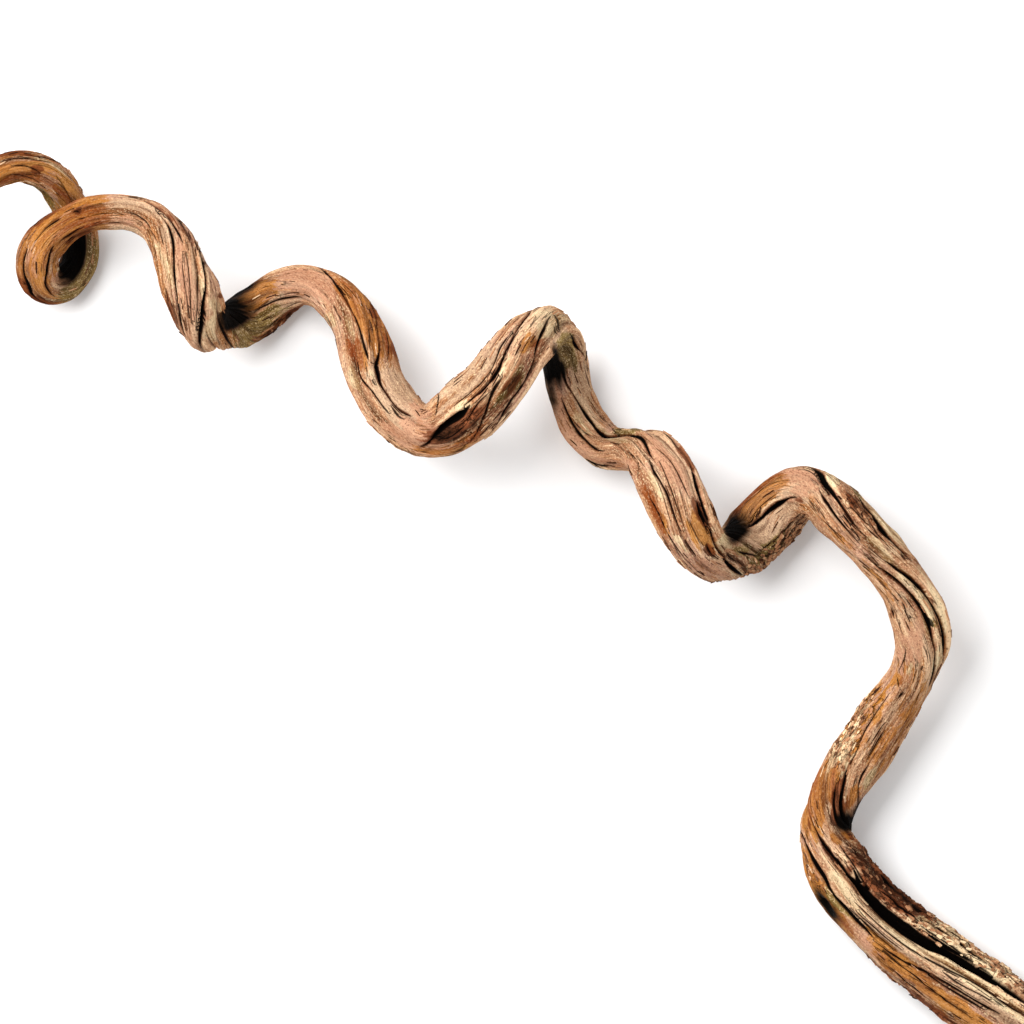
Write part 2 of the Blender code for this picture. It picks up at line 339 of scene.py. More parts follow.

# %% [markdown]
# ## The fissures that the photograph shows
#
# Dry wood splits along its grain. The splits are what the eye follows on this stem, so each one
# that shows is drawn: its depth, then places along the route, how far across the stem
# they are seen (1 is the left edge, -1 the right one, looking along the stem from the thin end)
# and half its width there, in millimetres. A noise pattern would split it anywhere.

# %% Fissures seen from above
SEEN_FISSURES = (
    (1.2, ((2.9, .62, .4), (3.1, .7, .7), (3.5, .88, 1), (3.8, .98, 1), (4.1, 1.04, .7))),
    (.6, ((2.4, .5, .3), (3, .55, .4), (3.4, .6, .4), (3.7, .72, .4))),
    (.6, ((2.7, .1, .4), (3.3, .05, .4), (3.7, -.1, .4))),
    (.6, ((2.6, -.45, .4), (3.2, -.6, .5), (3.8, -.55, .3))),
    (.5, ((4, .35, .3), (4.6, .25, .5), (5.1, .2, .3))),
    (1.8, ((8.7, .98, .6), (8.9, .95, 1), (9.15, .93, 1.4), (9.3, .9, 1.7), (9.45, .8, 1.5),
           (9.6, .74, 1.3), (9.8, .7, 1.1), (10.1, .66, 1.1), (10.5, .6, .6), (10.8, .58, .3))),
    (1.4, ((8.6, .65, .4), (8.7, .52, .6), (8.9, .25, .8), (9.1, .02, 1), (9.3, -.25, 1.1),
           (9.5, -.42, 1.1), (9.8, -.5, 1.1), (10.2, -.55, 1.1), (10.5, -.56, 1), (10.8, -.53, .8),
           (11.1, -.5, .7), (11.4, -.45, .4))),
    (.8, ((11, .36, .5), (11.3, .38, .7), (11.6, .45, .9), (12, .5, .7), (12.3, .52, .3))),
    (.8, ((11.3, .98, .5), (11.5, .94, 1), (11.75, .92, .8))),
    (.5, ((9.6, .95, .4), (10.2, .98, .4), (10.8, .9, .4), (11.2, .8, .3))),
    (.5, ((11.6, -.55, .4), (12.2, -.6, .5), (12.8, -.55, .4))),
    (.8, ((11.9, -.85, .5), (12.1, -.8, .9), (12.3, -.85, .6))),
    (.8, ((12.6, .55, .5), (12.75, .4, 1.2), (12.85, .3, .6))),
    (.8, ((12.6, 0, .4), (12.8, -.1, .9), (12.95, -.08, .5))),
    (.7, ((14.05, .95, .5), (14.5, .97, .8), (15, 1, .9), (15.3, .96, .7), (15.5, .9, .6),
          (15.7, .8, .5), (15.85, .65, .4))),
    (1.2, ((14, .88, .5), (14.3, .84, .9), (14.6, .76, 1), (14.8, .7, .9), (15, .62, .7), (15.3, .6, .5),
           (15.6, .52, .6), (15.85, .42, .4))),
    (1.6, ((14.75, .62, .4), (14.95, .45, .6), (15.1, .4, .7), (15.3, .36, 1), (15.5, .2, 1),
           (15.7, .06, 1), (15.85, -.06, 1), (16, -.17, .9), (16.2, -.3, .9), (16.4, -.4, .9),
           (16.6, -.47, .9), (16.75, -.52, .7), (17, -.57, .8), (17.3, -.65, .8), (17.6, -.76, .9),
           (17.8, -.82, 1), (18, -.88, 1.1), (18.1, -.93, .6))),
    (.5, ((13.1, -.08, .3), (14, -.06, .4), (14.4, -.04, .5))),
    (.5, ((14.1, .08, .3), (14.4, -.05, .5), (14.8, -.25, .6), (15.1, -.42, .4))),
    (.5, ((15, -.42, .4), (15.2, -.48, .7), (15.5, -.52, .4))),
    (.5, ((15.9, .38, .3), (16.3, .25, .5), (16.8, .05, .5), (17.2, -.08, .5), (17.6, -.25, .5),
          (17.9, -.4, .4))),
    (.5, ((16.1, .12, .3), (16.4, -.02, .5), (16.8, -.15, .4), (17.3, -.25, .4), (17.8, -.45, .3))),
    (.5, ((16.5, .5, .3), (17, .3, .4), (17.5, .05, .5), (17.9, -.2, .4), (18.15, -.5, .3))),
    (2.4, ((15.6, .93, .6), (15.8, .92, 1.2), (16, .92, 1.7), (16.2, .88, 1.9), (16.4, .82, 1.8),
           (16.6, .76, 1.4), (16.8, .7, 1.1), (17, .62, 1), (17.3, .45, 1), (17.6, .28, 1),
           (17.8, .14, 1.2), (18, -.03, 1.3), (18.15, -.22, 1.3), (18.28, -.48, 1.2), (18.36, -.75, 1.2),
           (18.45, -.9, 1.1), (18.6, -.97, .6))),
    (.7, ((17.7, .32, .4), (17.95, .22, .5), (18.1, .05, .5), (18.25, -.2, .5), (18.35, -.45, .3))),
    (.6, ((17, -.98, .5), (17.4, -.96, 1), (17.8, -.97, .8))),
    (1.4, ((19.08, .9, .6), (19.16, .4, .9), (19.2, 0, .9), (19.24, -.5, 1), (19.36, -1, .9))),
    (.8, ((20.4, -.05, .3), (20.7, -.05, .5), (21, -.12, .7), (21.2, -.2, .7), (21.5, -.38, .7),
          (21.8, -.52, .6), (22.05, -.62, .3))),
    (.4, ((21.2, -.05, .3), (21.6, -.2, .3), (22, -.4, .3))),
    (.4, ((21.2, -.6, .3), (21.5, -.7, .5), (21.9, -.75, .4))),
    (1, ((22.4, .98, .4), (22.55, .92, .7), (22.8, .72, .9), (23, .55, .9), (23.2, .42, .8),
         (23.5, .28, .8), (23.7, .2, .8), (24, .14, .8), (24.3, .08, .7), (24.6, 0, .8),
         (24.9, -.05, .9), (25.2, -.05, .9), (25.4, .03, .8))),
    (.5, ((23.05, .6, .4), (23.3, .52, .6), (23.6, .46, .5))),
    (.4, ((23.1, .75, .3), (23.4, .7, .5), (23.7, .62, .4))),
    (2.2, ((23.7, 1, .6), (23.95, .97, 1), (24.15, .85, 1.2), (24.3, .8, 1), (24.5, .66, .9),
           (24.7, .56, .8), (24.9, .5, .8), (25.1, .42, .8), (25.3, .28, .8), (25.5, .1, .9),
           (25.7, .08, .9), (26, .02, .9), (26.3, .08, .8), (26.7, .1, .8), (27, .15, .7),
           (27.3, .25, .5))),
    (.8, ((26.6, -.03, .4), (26.85, -.05, .9), (27.05, -.08, 1), (27.2, .02, .6))),
    (.9, ((25.75, -.2, .5), (25.85, -.18, 1.2), (26, -.14, .5))),
    (.7, ((26.5, -.28, .4), (26.65, -.27, 1), (26.8, -.27, .4))),
    (.7, ((25.1, -.45, .3), (25.4, -.54, .5), (25.65, -.55, .6), (25.85, -.48, .6), (26.1, -.35, .6),
          (26.4, -.3, .7), (26.75, -.3, .5))),
    (.5, ((24.4, .4, .3), (24.6, .3, .5), (24.85, .18, .5), (25, .1, .3))),
    (.5, ((24.6, .9, .4), (24.9, .85, .6), (25.2, .72, .5), (25.5, .55, .4))),
    (.5, ((25.2, -.2, .3), (25.5, -.25, .5), (25.7, -.3, .3))),
    (3.4, ((27.8, -.72, .4), (27.95, -.5, .9), (28.1, -.25, 1.3), (28.3, -.07, 1.7), (28.6, 0, 1.8),
           (28.9, -.02, 2), (29.1, -.03, 1.5), (29.25, -.02, .5))),
    (2, ((29.15, .1, .5), (29.4, .1, .8), (29.7, .07, .9), (29.95, .08, .9), (30.1, .1, 1.4),
         (30.35, .12, 1.5), (30.5, .2, 1), (30.7, .3, .8), (31, .4, .8), (31.3, .54, .9),
         (31.55, .68, .9), (31.8, .85, .9), (32, .96, .6))),
    (.8, ((28.25, .35, .4), (28.4, .5, .6), (28.6, .68, .8), (28.8, .88, .8), (28.95, .98, .6))),
    (1, ((28.45, -.98, .5), (28.7, -.87, .6), (29, -.75, .6), (29.25, -.6, .6), (29.5, -.44, .7),
         (29.75, -.25, .8), (29.95, -.14, 1.1), (30.15, -.12, 1.2), (30.3, -.1, .6))),
    (.7, ((28.6, -.3, .4), (29, -.3, .6), (29.3, -.15, .6), (29.45, -.1, .8), (29.7, -.1, .7),
          (29.85, -.12, .4))),
    (.6, ((28.1, -.35, .5), (28.4, -.45, .8), (28.7, -.42, .7), (29, -.35, .4))),
    (.8, ((28.9, .3, .4), (29.4, .3, .5), (29.8, .28, .5), (30.2, .3, .6), (30.5, .42, .7),
          (30.75, .55, 1), (30.95, .57, .9), (31.2, .6, .5))),
    (1, ((28.9, -1, .6), (29.2, -1, .8), (29.6, -.9, .9), (30, -.8, .9), (30.5, -.78, .8),
         (30.9, -.65, .6), (31.2, -.5, .5))),
    (.6, ((30.5, .15, .4), (30.75, .25, .5), (31, .36, .5), (31.3, .45, .4))),
    (1.2, ((31.1, -.55, .5), (31.3, -.45, .7), (31.5, -.35, .7), (31.8, -.15, .8), (32, 0, .9),
           (32.1, .07, 1), (32.22, .27, 1), (32.3, .5, .9), (32.36, .72, .8))),
    (.5, ((31.6, .3, .3), (31.8, .5, .4), (31.95, .75, .4))),
    (.6, ((32.4, .75, .4), (32.55, .6, .8), (32.7, .35, .6), (32.9, .2, .4))),
    (.5, ((32.5, .3, .4), (32.7, .1, .7), (32.95, .05, .4))),
    (1.4, ((33.1, .5, .5), (33.25, .55, 1), (33.5, .6, 1.2), (33.7, .7, 1.1), (33.9, .8, .9),
           (34.2, .9, .8), (34.5, .9, .5))),
    (.6, ((34.2, .75, .4), (34.5, .82, .5), (34.9, .9, .4))),
    (1.4, ((34.3, -.25, .5), (34.55, -.18, .7), (34.8, -.05, .7), (35, .08, .7), (35.3, .2, .8),
           (35.6, .3, .8), (36, .38, 1.2), (36.3, .37, 1.2), (36.6, .38, 1.1), (36.8, .45, .9),
           (37, .55, .7), (37.3, .65, .6), (37.6, .7, .6), (37.9, .73, .7), (38.1, .7, 1),
           (38.25, .65, 1.5), (38.4, .55, 1.4), (38.55, .35, 1.1), (38.7, .15, .9), (38.9, 0, .6),
           (39.1, -.02, .4))),
    (1.1, ((34.9, -.5, .4), (35.2, -.48, .7), (35.5, -.42, .8), (35.8, -.38, .8), (36, -.35, .8),
           (36.3, -.3, .8), (36.6, -.32, .9), (36.8, -.27, .5), (36.95, -.15, .4))),
    (.5, ((35.4, .78, .4), (35.8, .87, .5), (36.2, .9, .5), (36.6, .87, .6), (37, .83, .6),
          (37.5, .75, .5))),
    (.8, ((37, -.85, .4), (37.3, -.83, .7), (37.65, -.83, .4))),
    (.6, ((37.8, -.05, .3), (38.1, -.25, .5), (38.4, -.42, .6), (38.7, -.65, .6), (39, -.82, .6),
          (39.3, -.87, .4))),
    (2.6, ((38.9, .97, .7), (39.2, .92, 1.2), (39.5, .9, 1.3), (39.8, .88, 1.2), (40, .84, 1.5),
           (40.3, .78, 1.6), (40.5, .75, 1.4), (40.8, .7, 1.2), (41, .67, 1.2), (41.3, .62, 1.2),
           (41.5, .58, 1.2), (41.8, .52, 1.2), (42.05, .44, 1.2), (42.4, .3, 1.1), (42.65, .18, 1.1),
           (42.85, .05, 1.1), (43, -.1, 1.1), (43.12, -.3, 1.2), (43.25, -.55, 1.2), (43.4, -.82, 1),
           (43.5, -.95, .6))),
    (1, ((38.9, -.12, .4), (39.2, -.24, .8), (39.45, -.29, 1.1), (39.7, -.26, .7), (40.1, -.25, .9),
         (40.3, -.28, .7), (40.8, -.35, .7), (41.2, -.38, .7), (41.6, -.42, .6), (42, -.46, .4))),
    (.5, ((39.2, .1, .3), (39.7, 0, .5), (40.2, -.08, .5), (40.7, -.15, .4), (41.3, -.25, .3))),
    (.5, ((38.8, .35, .3), (39.4, .4, .5), (40, .4, .5), (40.5, .38, .4))),
    (1, ((39.8, -.78, .4), (40.1, -.8, .7), (40.6, -.78, .8), (41, -.79, .8), (41.5, -.8, .9),
         (42, -.84, .8), (42.3, -.88, .5))),
    (2.2, ((40.6, .56, .5), (40.75, .52, 1.4), (40.95, .5, 1.8), (41.15, .47, 1.5), (41.4, .42, .8),
           (41.7, .33, .5))),
    (1.2, ((41.8, .2, .4), (42, .1, 1), (42.2, .03, 1.4), (42.35, -.03, .9), (42.5, -.1, .4))),
    (.5, ((43.15, .1, .4), (43.3, -.1, .6), (43.45, -.4, .5))),
    (1.2, ((43.6, .05, .5), (43.72, -.08, .9), (43.88, -.27, 1), (44, -.42, .9), (44.1, -.55, .5))),
    (2.8, ((44.4, .4, .6), (44.6, .34, 1.4), (44.8, .3, 1.7), (45, .27, 1.7), (45.25, .22, 1.7),
           (45.5, .15, 1.6), (45.7, .1, 1.3), (45.9, .03, .9), (46.1, -.08, .5))),
    (.6, ((44.5, .48, .4), (44.8, .52, .6), (45.2, .54, .7), (45.5, .51, .6), (45.8, .42, .4))),
    (.6, ((44.1, -.43, .4), (44.5, -.5, .5), (45, -.56, .6), (45.5, -.6, .5), (46, -.66, .4))),
    (.6, ((44.8, -.74, .4), (45.3, -.76, .5), (46, -.79, .5), (46.5, -.85, .4))),
    (.6, ((46.4, .98, .5), (46.55, .92, .8), (46.7, .8, .5), (46.85, .55, .4), (46.95, .3, .3))),
    (2.2, ((46.6, 1, .8), (46.75, .92, 1.3), (46.85, .82, 1.6), (46.95, .66, 1.6), (47.05, .5, 1.5),
           (47.2, .4, 1.2), (47.35, .33, 1), (47.5, .27, .9), (47.75, .18, .8), (48, .11, .8),
           (48.3, .03, .7), (48.55, -.04, .4))),
    (1, ((46.95, .2, .4), (47.05, .06, .9), (47.2, -.06, 1), (47.5, -.16, .9), (47.8, -.26, .9),
         (48.1, -.31, .8), (48.5, -.36, .7), (48.8, -.38, .5))),
    (.6, ((47, .35, .4), (47.15, .27, .6), (47.3, .2, .5), (47.4, .14, .3))),
    (.8, ((47.2, 1, .5), (47.32, .88, .8), (47.4, .75, .5))),
    (2.4, ((48, .84, .6), (48.15, .79, 1.1), (48.4, .77, 1.3), (48.65, .71, 1.6), (48.85, .65, 1.8),
           (49, .64, 1.6), (49.2, .66, 1.1), (49.45, .7, 1), (49.65, .72, .9), (49.85, .74, .5))),
    (.9, ((49.5, .62, .6), (49.62, .6, 1.5), (49.75, .64, .9))),
    (.7, ((48, .38, .5), (48.2, .35, .8), (48.45, .34, .7), (48.65, .36, .3))),
    (.6, ((48.1, .62, .4), (48.22, .6, 1), (48.35, .62, .4))),
    (.6, ((48.5, .5, .3), (48.9, .4, .5), (49.3, .4, .4))),
    (.9, ((47.95, -.02, .5), (48.05, -.06, 1.2), (48.2, -.08, 1), (48.35, -.14, .6))),
    (.6, ((48.3, -.15, .4), (48.6, -.2, .9), (48.75, -.28, .6))),
    (.8, ((48.9, -.22, .3), (49.1, -.2, .6), (49.3, -.16, .5), (49.45, -.13, .4))),
    (2.8, ((49.4, -.12, .4), (49.6, 0, .8), (49.8, .1, .9), (50, .24, 1), (50.15, .33, 1.1),
           (50.4, .42, 1.5), (50.7, .47, 1.4), (51, .52, 1.3), (51.3, .63, 1.4), (51.5, .71, 1.6),
           (51.7, .78, 1.8), (51.9, .85, 1.9), (52.1, .92, 1.8), (52.3, .97, 1.4), (52.45, .97, .6))),
    (1.5, ((49.3, -.47, .4), (49.6, -.42, .5), (49.9, -.24, .6), (50.2, -.12, .6), (50.5, -.02, .7),
           (50.8, .07, 1), (51, .13, 1), (51.2, .18, 1.2), (51.4, .24, 1.2), (51.7, .33, 1),
           (51.9, .42, .9), (52.1, .56, 1), (52.4, .68, 1), (52.6, .79, 1.2), (52.8, .84, 1.1),
           (53, .86, .6))),
    (1.2, ((51.2, .3, .6), (51.35, .36, 1.6), (51.5, .42, .8))),
    (.7, ((49, -.38, .4), (49.2, -.36, .6), (49.45, -.38, .3))),
    (.9, ((50.95, -.38, .6), (51.05, -.37, 1.5), (51.15, -.36, .8))),
    (.6, ((50.25, .26, .5), (50.32, .24, 1), (50.4, .24, .4))),
    (.5, ((50.1, -.5, .4), (50.3, -.45, .6), (50.7, -.47, .6), (51, -.46, .5))),
    (.4, ((50.25, -.4, .3), (50.5, -.28, .4), (50.8, -.2, .4), (51, -.1, .3))),
    (.6, ((47.6, -.72, .3), (48, -.7, .5), (48.4, -.67, .5))),
    (.6, ((48.5, -.92, .4), (48.8, -.88, .6), (49, -.88, .4))),
    (.9, ((49.15, -.9, .5), (49.25, -.85, 1.5), (49.35, -.85, .8), (49.6, -.82, .5))),
    (.9, ((50.45, -.9, .5), (50.6, -.93, 1.3), (50.8, -.93, 1), (50.95, -.9, .4))),
    (.5, ((48.9, -.5, .3), (49.2, -.52, .5), (49.5, -.48, .4))),
    (.8, ((52.5, .25, .5), (52.6, .22, 1.4), (52.7, .26, .6))),
    (.6, ((52.1, -.6, .4), (52.4, -.58, .8), (52.7, -.62, .7), (52.9, -.65, .3))),
    (.5, ((50.9, -.78, .3), (51.1, -.77, .6), (51.4, -.8, .3))),
    (.8, ((53.35, -.02, .5), (53.45, -.06, 1.5), (53.6, -.07, .8))),
    (.7, ((53.1, -.6, .5), (53.2, -.45, 1), (53.32, -.28, .6))),
    (.5, ((53.1, .6, .4), (53.3, .68, .6), (53.5, .7, .4))),
    (.7, ((53.5, -.47, .3), (53.75, -.43, .5), (54, -.4, .6), (54.3, -.42, .6), (54.6, -.42, .7),
          (54.85, -.38, .5), (55.05, -.3, .7), (55.3, -.23, .8))),
    (2.4, ((55.2, -.24, .5), (55.5, -.2, .8), (55.7, -.18, .9), (55.85, -.11, .9), (56, -.02, .8),
           (56.2, .1, .8), (56.4, .25, .9), (56.6, .42, 1.2), (56.8, .62, 1.6), (57, .85, 1.6),
           (57.1, .95, .8))),
    (1.6, ((56.05, -.3, .4), (56.2, -.23, .6), (56.35, -.13, .7), (56.5, 0, .8), (56.7, .2, 1),
           (56.85, .38, 1.2), (57, .62, 1.6), (57.15, .88, 1.2))),
    (.7, ((54.4, .2, .3), (54.6, .19, .6), (55, .19, .7), (55.3, .2, .5))),
    (1.2, ((55.3, .38, .5), (55.45, .37, .9), (55.65, .4, 1), (55.85, .46, 1), (56, .6, 1.1),
           (56.15, .75, 1.2), (56.35, .88, 1))),
    (.8, ((53.9, 1, .6), (54.3, .98, .8), (54.7, .96, .9), (55, .93, .7))),
    (.5, ((54.2, .05, .3), (54.7, .02, .4), (55.2, 0, .3))),
    (2.2, ((56.85, -.68, .4), (57, -.55, .8), (57.2, -.38, 1.1), (57.4, -.2, 1.2), (57.6, -.03, 1.2),
           (57.8, .07, 1.3), (58, .14, 1.6))),
    (7, ((57.8, .12, .6), (58, .18, 1.4), (58.3, .22, 1.9), (58.6, .26, 2.2), (58.9, .26, 2.8),
         (59.3, .24, 3.2), (59.7, .26, 3.4), (60, .28, 3.5), (60.4, .31, 3.2), (60.7, .35, 3),
         (61, .4, 2.8), (61.3, .44, 2.6), (61.6, .48, 2.5), (62, .53, 2.2), (62.4, .57, 2),
         (63, .6, 1.8), (64.4, .62, 1.8))),
    (1.6, ((57.1, -.97, .5), (57.3, -.85, .9), (57.6, -.67, 1.3), (57.85, -.55, 1.6), (58.1, -.47, 1.6),
           (58.5, -.5, 1.5), (58.9, -.48, 1.5), (59.2, -.52, 1.4), (59.5, -.53, .8), (59.7, -.5, .4))),
    (.8, ((58.8, -.17, .4), (59.3, -.14, .5), (59.8, -.12, .6), (60.3, -.07, .8), (60.7, -.02, .8),
          (61, .03, .8), (61.4, .1, .8), (61.9, .2, .8), (62.4, .26, .7), (63, .3, .5))),
    (.9, ((59.6, -.58, .5), (60, -.53, .8), (60.3, -.48, .9), (60.6, -.42, .9), (61, -.3, .8),
          (61.4, -.22, .7), (61.8, -.17, .8), (62.2, -.12, .8), (62.7, -.03, .6))),
    (.8, ((60.8, -.35, .4), (61.2, -.32, .6), (61.6, -.3, .6), (62, -.26, .7), (62.4, -.18, .5))),
    (.7, ((61.2, -.03, .5), (61.4, -.04, 1), (61.6, -.04, .7), (61.9, .02, .6), (62.3, .1, .6),
          (62.7, .15, .5))),
    (.8, ((62.35, .17, .5), (62.5, .17, 1.1), (62.65, .18, .5))),
    (.6, ((59, -.3, .4), (59.4, -.3, .6), (59.9, -.27, .5), (60.3, -.22, .4))),
    (.6, ((58.9, -.35, .4), (59.3, -.4, .6), (59.8, -.4, .5), (60.2, -.36, .3))),
    (.8, ((59.9, -.62, .5), (60.5, -.6, .7), (61.1, -.6, .6), (61.7, -.62, .6), (62.3, -.55, .5))),
    (.6, ((60.2, -.8, .5), (60.8, -.85, .7), (61.4, -.85, .7), (62, -.8, .5))),
    (2, ((58.15, -1, .8), (58.3, -.95, 1.8), (58.5, -.88, 2.6), (58.7, -.86, 2.6), (58.85, -.92, 1.2))),
    (1.2, ((58.8, .95, .8), (59, .94, 2), (59.25, .93, 1.8), (59.3, .94, .8))),
    (1.2, ((59.35, .95, .8), (59.45, .94, 1.8), (59.6, .93, 1.2))),
    (1.2, ((59.7, .95, .8), (59.85, .93, 1.9), (60.05, .92, 1.6), (60.1, .93, .6))),
    (.8, ((57.4, .35, .4), (57.7, .45, .7), (58.1, .5, .8), (58.5, .47, .8), (58.9, .48, .6))),
    (.6, ((57.5, .6, .4), (57.8, .75, .6), (58.1, .8, .5))),
    (1, ((59, .62, .5), (59.4, .68, .9), (59.8, .7, 1), (60.2, .7, .6))),
    (.9, ((60.2, .62, .5), (60.7, .64, .8), (61.2, .66, .8), (61.7, .68, .9), (62.1, .7, .6))),
    (.8, ((60.1, .8, .5), (60.6, .84, .8), (61.1, .83, .9), (61.6, .8, .9), (62.1, .82, .6))),
    (.6, ((60.5, .95, .5), (61, .94, .6), (61.6, .92, .6))),
)
print(len(SEEN_FISSURES), "fissures are drawn by hand")

# %% [markdown]
# ## Stains, weathering and painted shade
#
# Where bark has come off, the wood is pinkish tan. Round it lie ochre resin stains, cream dry
# skin with painted highlights on smooth wood, grey weathered wood, olive algae in the damp
# crooks and umber bark. The crooks where one turn shades the next are painted black as shade.
# Crust is cracked bark, and peach is wood rubbed smooth. Each stain is a stretch of the route and
# a share of the width, again as seen from above. Only its middle is laid down here: the finish
# breaks its edge up along the grain.

# %% Stains: first and last point of the route, right and left edge across, strength if not 1
STAINS_AND_SHADE = {
    "ochre": ((-1, 6, -1.4, 1.4, .6), (2, 4, -1, .4), (4, 5.4, -.5, .9, .8), (8.4, 11.6, -1.3, 1.3, .7),
        (11, 13.5, -1.4, 1.4, 1.2), (20.2, 21.3, 0, 1, 1.15), (23, 25.5, .1, 1.1),
        (24.5, 25.4, -.7, -.1), (27.8, 29.2, -1, -.6, .8), (31, 31.7, -.35, .15), (39.5, 41.2, -1, -.65),
        (40.8, 42.5, 0, .55, 1.2), (40.6, 42.2, -.3, .1, .6), (44.3, 46, .45, 1.2, 1.15),
        (47.4, 50.6, -.85, -.58, .6), (52.9, 53.4, -.75, -.25), (53, 54.3, 0, 1, .6),
        (52.5, 53.2, -.9, .6, .5), (52.6, 55.6, -1.1, 1.1, .5), (55.8, 57.3, -1.1, -.2, 1.1),
        (55.9, 56.6, .3, .75, .8), (57.1, 57.5, .1, .9, .8), (57.2, 59.4, -1.2, -.6),
        (59.6, 64.5, -.9, -.32, 1.1)),
    # cream: pale dry skin, and painted highlights on smooth wood
    "cream_and_highlight": ((3.2, 4.4, .6, .82), (8.4, 10, -1.1, -.85, .8), (15.3, 16.9, -.75, -.4, .8),
        (16.6, 17.4, .35, .6, .8), (18.2, 19.05, -.6, 1, .8), (17.2, 18.2, .5, 1, .7),
        (19.6, 19.85, -.5, -.3, .8), (23.5, 24, -1, -.6), (24, 24.6, -.4, .05, .6),
        (25.4, 26.2, -.2, 0, .7), (25.2, 25.9, -1, -.7, .8), (28.9, 29.3, -.1, .3, .9),
        (30.2, 30.5, -.08, .08), (31.7, 33, -.3, 1, .8), (35.3, 36.3, -.25, .2, .8),
        (36.2, 38, .3, .6, .8), (39.2, 40.5, -.55, -.32, .9), (41.1, 41.8, -.72, -.48),
        (42.2, 43.6, .15, 1, .9), (43.1, 43.5, -1, -.5, .8), (46.95, 47.35, .5, 1.1),
        (47.7, 48, .25, .5, .7), (48.2, 49.6, .75, 1.1, .8), (48.7, 49.6, -.05, .3, .8),
        (49.8, 50.4, -.1, .3, .8), (50.2, 51.5, .12, .44, 1.3), (50, 52, .65, .95, .8),
        (51.9, 52.6, .6, .94, 1.2), (51.45, 52, .42, .62, .7), (52.5, 52.9, -.4, -.1, .8),
        (54.7, 55.9, -1.1, -.4, .8), (53.9, 54.9, -1.1, -.6, .45), (55.1, 56, -.38, -.18),
        (55.2, 55.9, .52, .8, .8), (57.8, 59.2, -.38, .05, .8), (59.3, 61, -.12, .2),
        (60.4, 63.8, .08, .42), (60.1, 62.5, .58, 1.1, 1.2)),
    "grey": ((13.2, 15.5, .1, .8, .7), (15, 15.8, -.3, .35, .8), (20.9, 22, -.8, -.15),
        (25.3, 27.4, -.4, .8), (28.6, 31, .3, 1, .8), (31.8, 33.2, -.6, .6, .6), (34, 35.6, 0, .9),
        (43.7, 46.4, -.45, .3, 1.2), (48.9, 50.6, -.3, .4, .6), (50.2, 51.1, -.5, -.1, .9),
        (59, 61, -.45, -.12, .8), (61, 64.5, -.3, .15, .8), (62.2, 64.5, .6, 1.2)),
    "olive": ((3.2, 5, -1.2, -.7), (6.2, 8.6, .2, 1.3), (19.3, 21.2, -1.2, -.2),
        (29.7, 30.7, -.8, -.3, .7), (32.9, 34.1, -.3, .6, 1.2), (37, 38.2, .75, 1.1),
        (42.2, 43.5, .5, 1.1, .8), (43.6, 45.2, -.9, -.3, .7), (43.5, 44.2, -.3, .2, .8),
        (47.7, 48.1, .85, 1.1, .8), (51.25, 51.5, .25, .55), (55.2, 56, .5, .9, .6),
        (57.9, 59.6, -.62, -.42), (58.2, 58.9, -.75, -.6, .6)),
    "umber": ((2.2, 3.2, .75, 1.1), (3.35, 3.65, -.3, .3), (10.8, 12.3, .75, 1.2, .8),
        (8.6, 9.8, .8, 1.2), (12.2, 13.1, -1.2, -.7, .8), (11.3, 11.8, .85, 1.1), (12.65, 12.9, .2, .6),
        (11.8, 12.3, -1, -.7, .8), (14.6, 16.3, .6, 1, .6), (16.8, 18, -1.1, -.8, .8),
        (17.2, 17.4, .95, 1.1), (20, 22, -1.2, -.85), (24, 24.4, .6, 1, .8), (25, 25.4, .75, 1.1, .8),
        (27.9, 29.3, -.62, .05, 1.4), (29.9, 30.6, -.7, -.35), (39.2, 39.9, .82, 1.05),
        (40.5, 41.5, .34, .68, 1.3), (41.9, 42.45, -.14, .2, 1.3), (45.9, 46.3, -.45, -.05, .6),
        (47.3, 48.6, .3, .85, .66), (48, 48.8, -.35, 0, .7), (48.2, 49.3, .45, .65, .6),
        (50.5, 50.9, -1.2, -.88, .6), (53.4, 53.6, -.12, .02), (55.9, 56.5, -.22, .12, 1.3),
        (56.3, 57, 0, .6, 1.3), (56.9, 57.2, -.85, -.6, .7), (57.5, 60.3, .42, 1.2, .85),
        (59.9, 62.2, -1.2, -.82, .7)),
    # painted shade: black in the crooks where one turn shades the next
    "painted_shade": ((5.6, 8.2, -1.4, .3), (19.1, 20.5, -.25, 1.4), (20, 21, .8, 1.4),
        (27.95, 28.75, -.52, 0, .62), (33.3, 34.6, -1.3, -.25, 1.2), (34.2, 35.3, -1.3, -.7, .75),
        (33.9, 34.5, -.35, -.1), (43.45, 44.6, .25, 1.4), (56.55, 57.15, .3, 1.3), (56, 56.7, .85, 1.3),
        (58.22, 58.95, -1.3, -.74), (58.8, 60.1, .88, 1.05, .7)),
    "crust": ((20, 21.6, -1.2, -.9, .8), (28, 29.4, -.8, -.1, .6), (43.4, 45.6, -1.1, -.5),
        (47.3, 48.8, .25, .9, .7), (53.8, 55.8, -1.1, -.4), (55.1, 56, -.4, -.2), (57.4, 61, .5, 1.3),
        (60.4, 64.5, .64, 1.3), (57.7, 58.3, -.95, -.6, .8), (59.3, 62, -1.2, -.85, .45)),
    "peach": ((9.3, 10.8, -.3, .5, .8), (8.2, 9.2, -1, -.2), (13.2, 14.8, -.9, -.2, .6),
        (16, 17.9, -.3, .4), (21.2, 23.2, -.6, .8), (27, 28.2, -1, .8), (34.6, 38.4, -1, -.45, .8),
        (38.3, 40.6, 0, .8, .7), (42, 43, -.9, -.2, .7), (45.8, 46.9, -.3, 1, .8), (51, 53, -.9, .1, .7),
        (57.4, 58.2, -.4, 0, .6), (59.3, 60.1, -1, -.5, .6)),
}
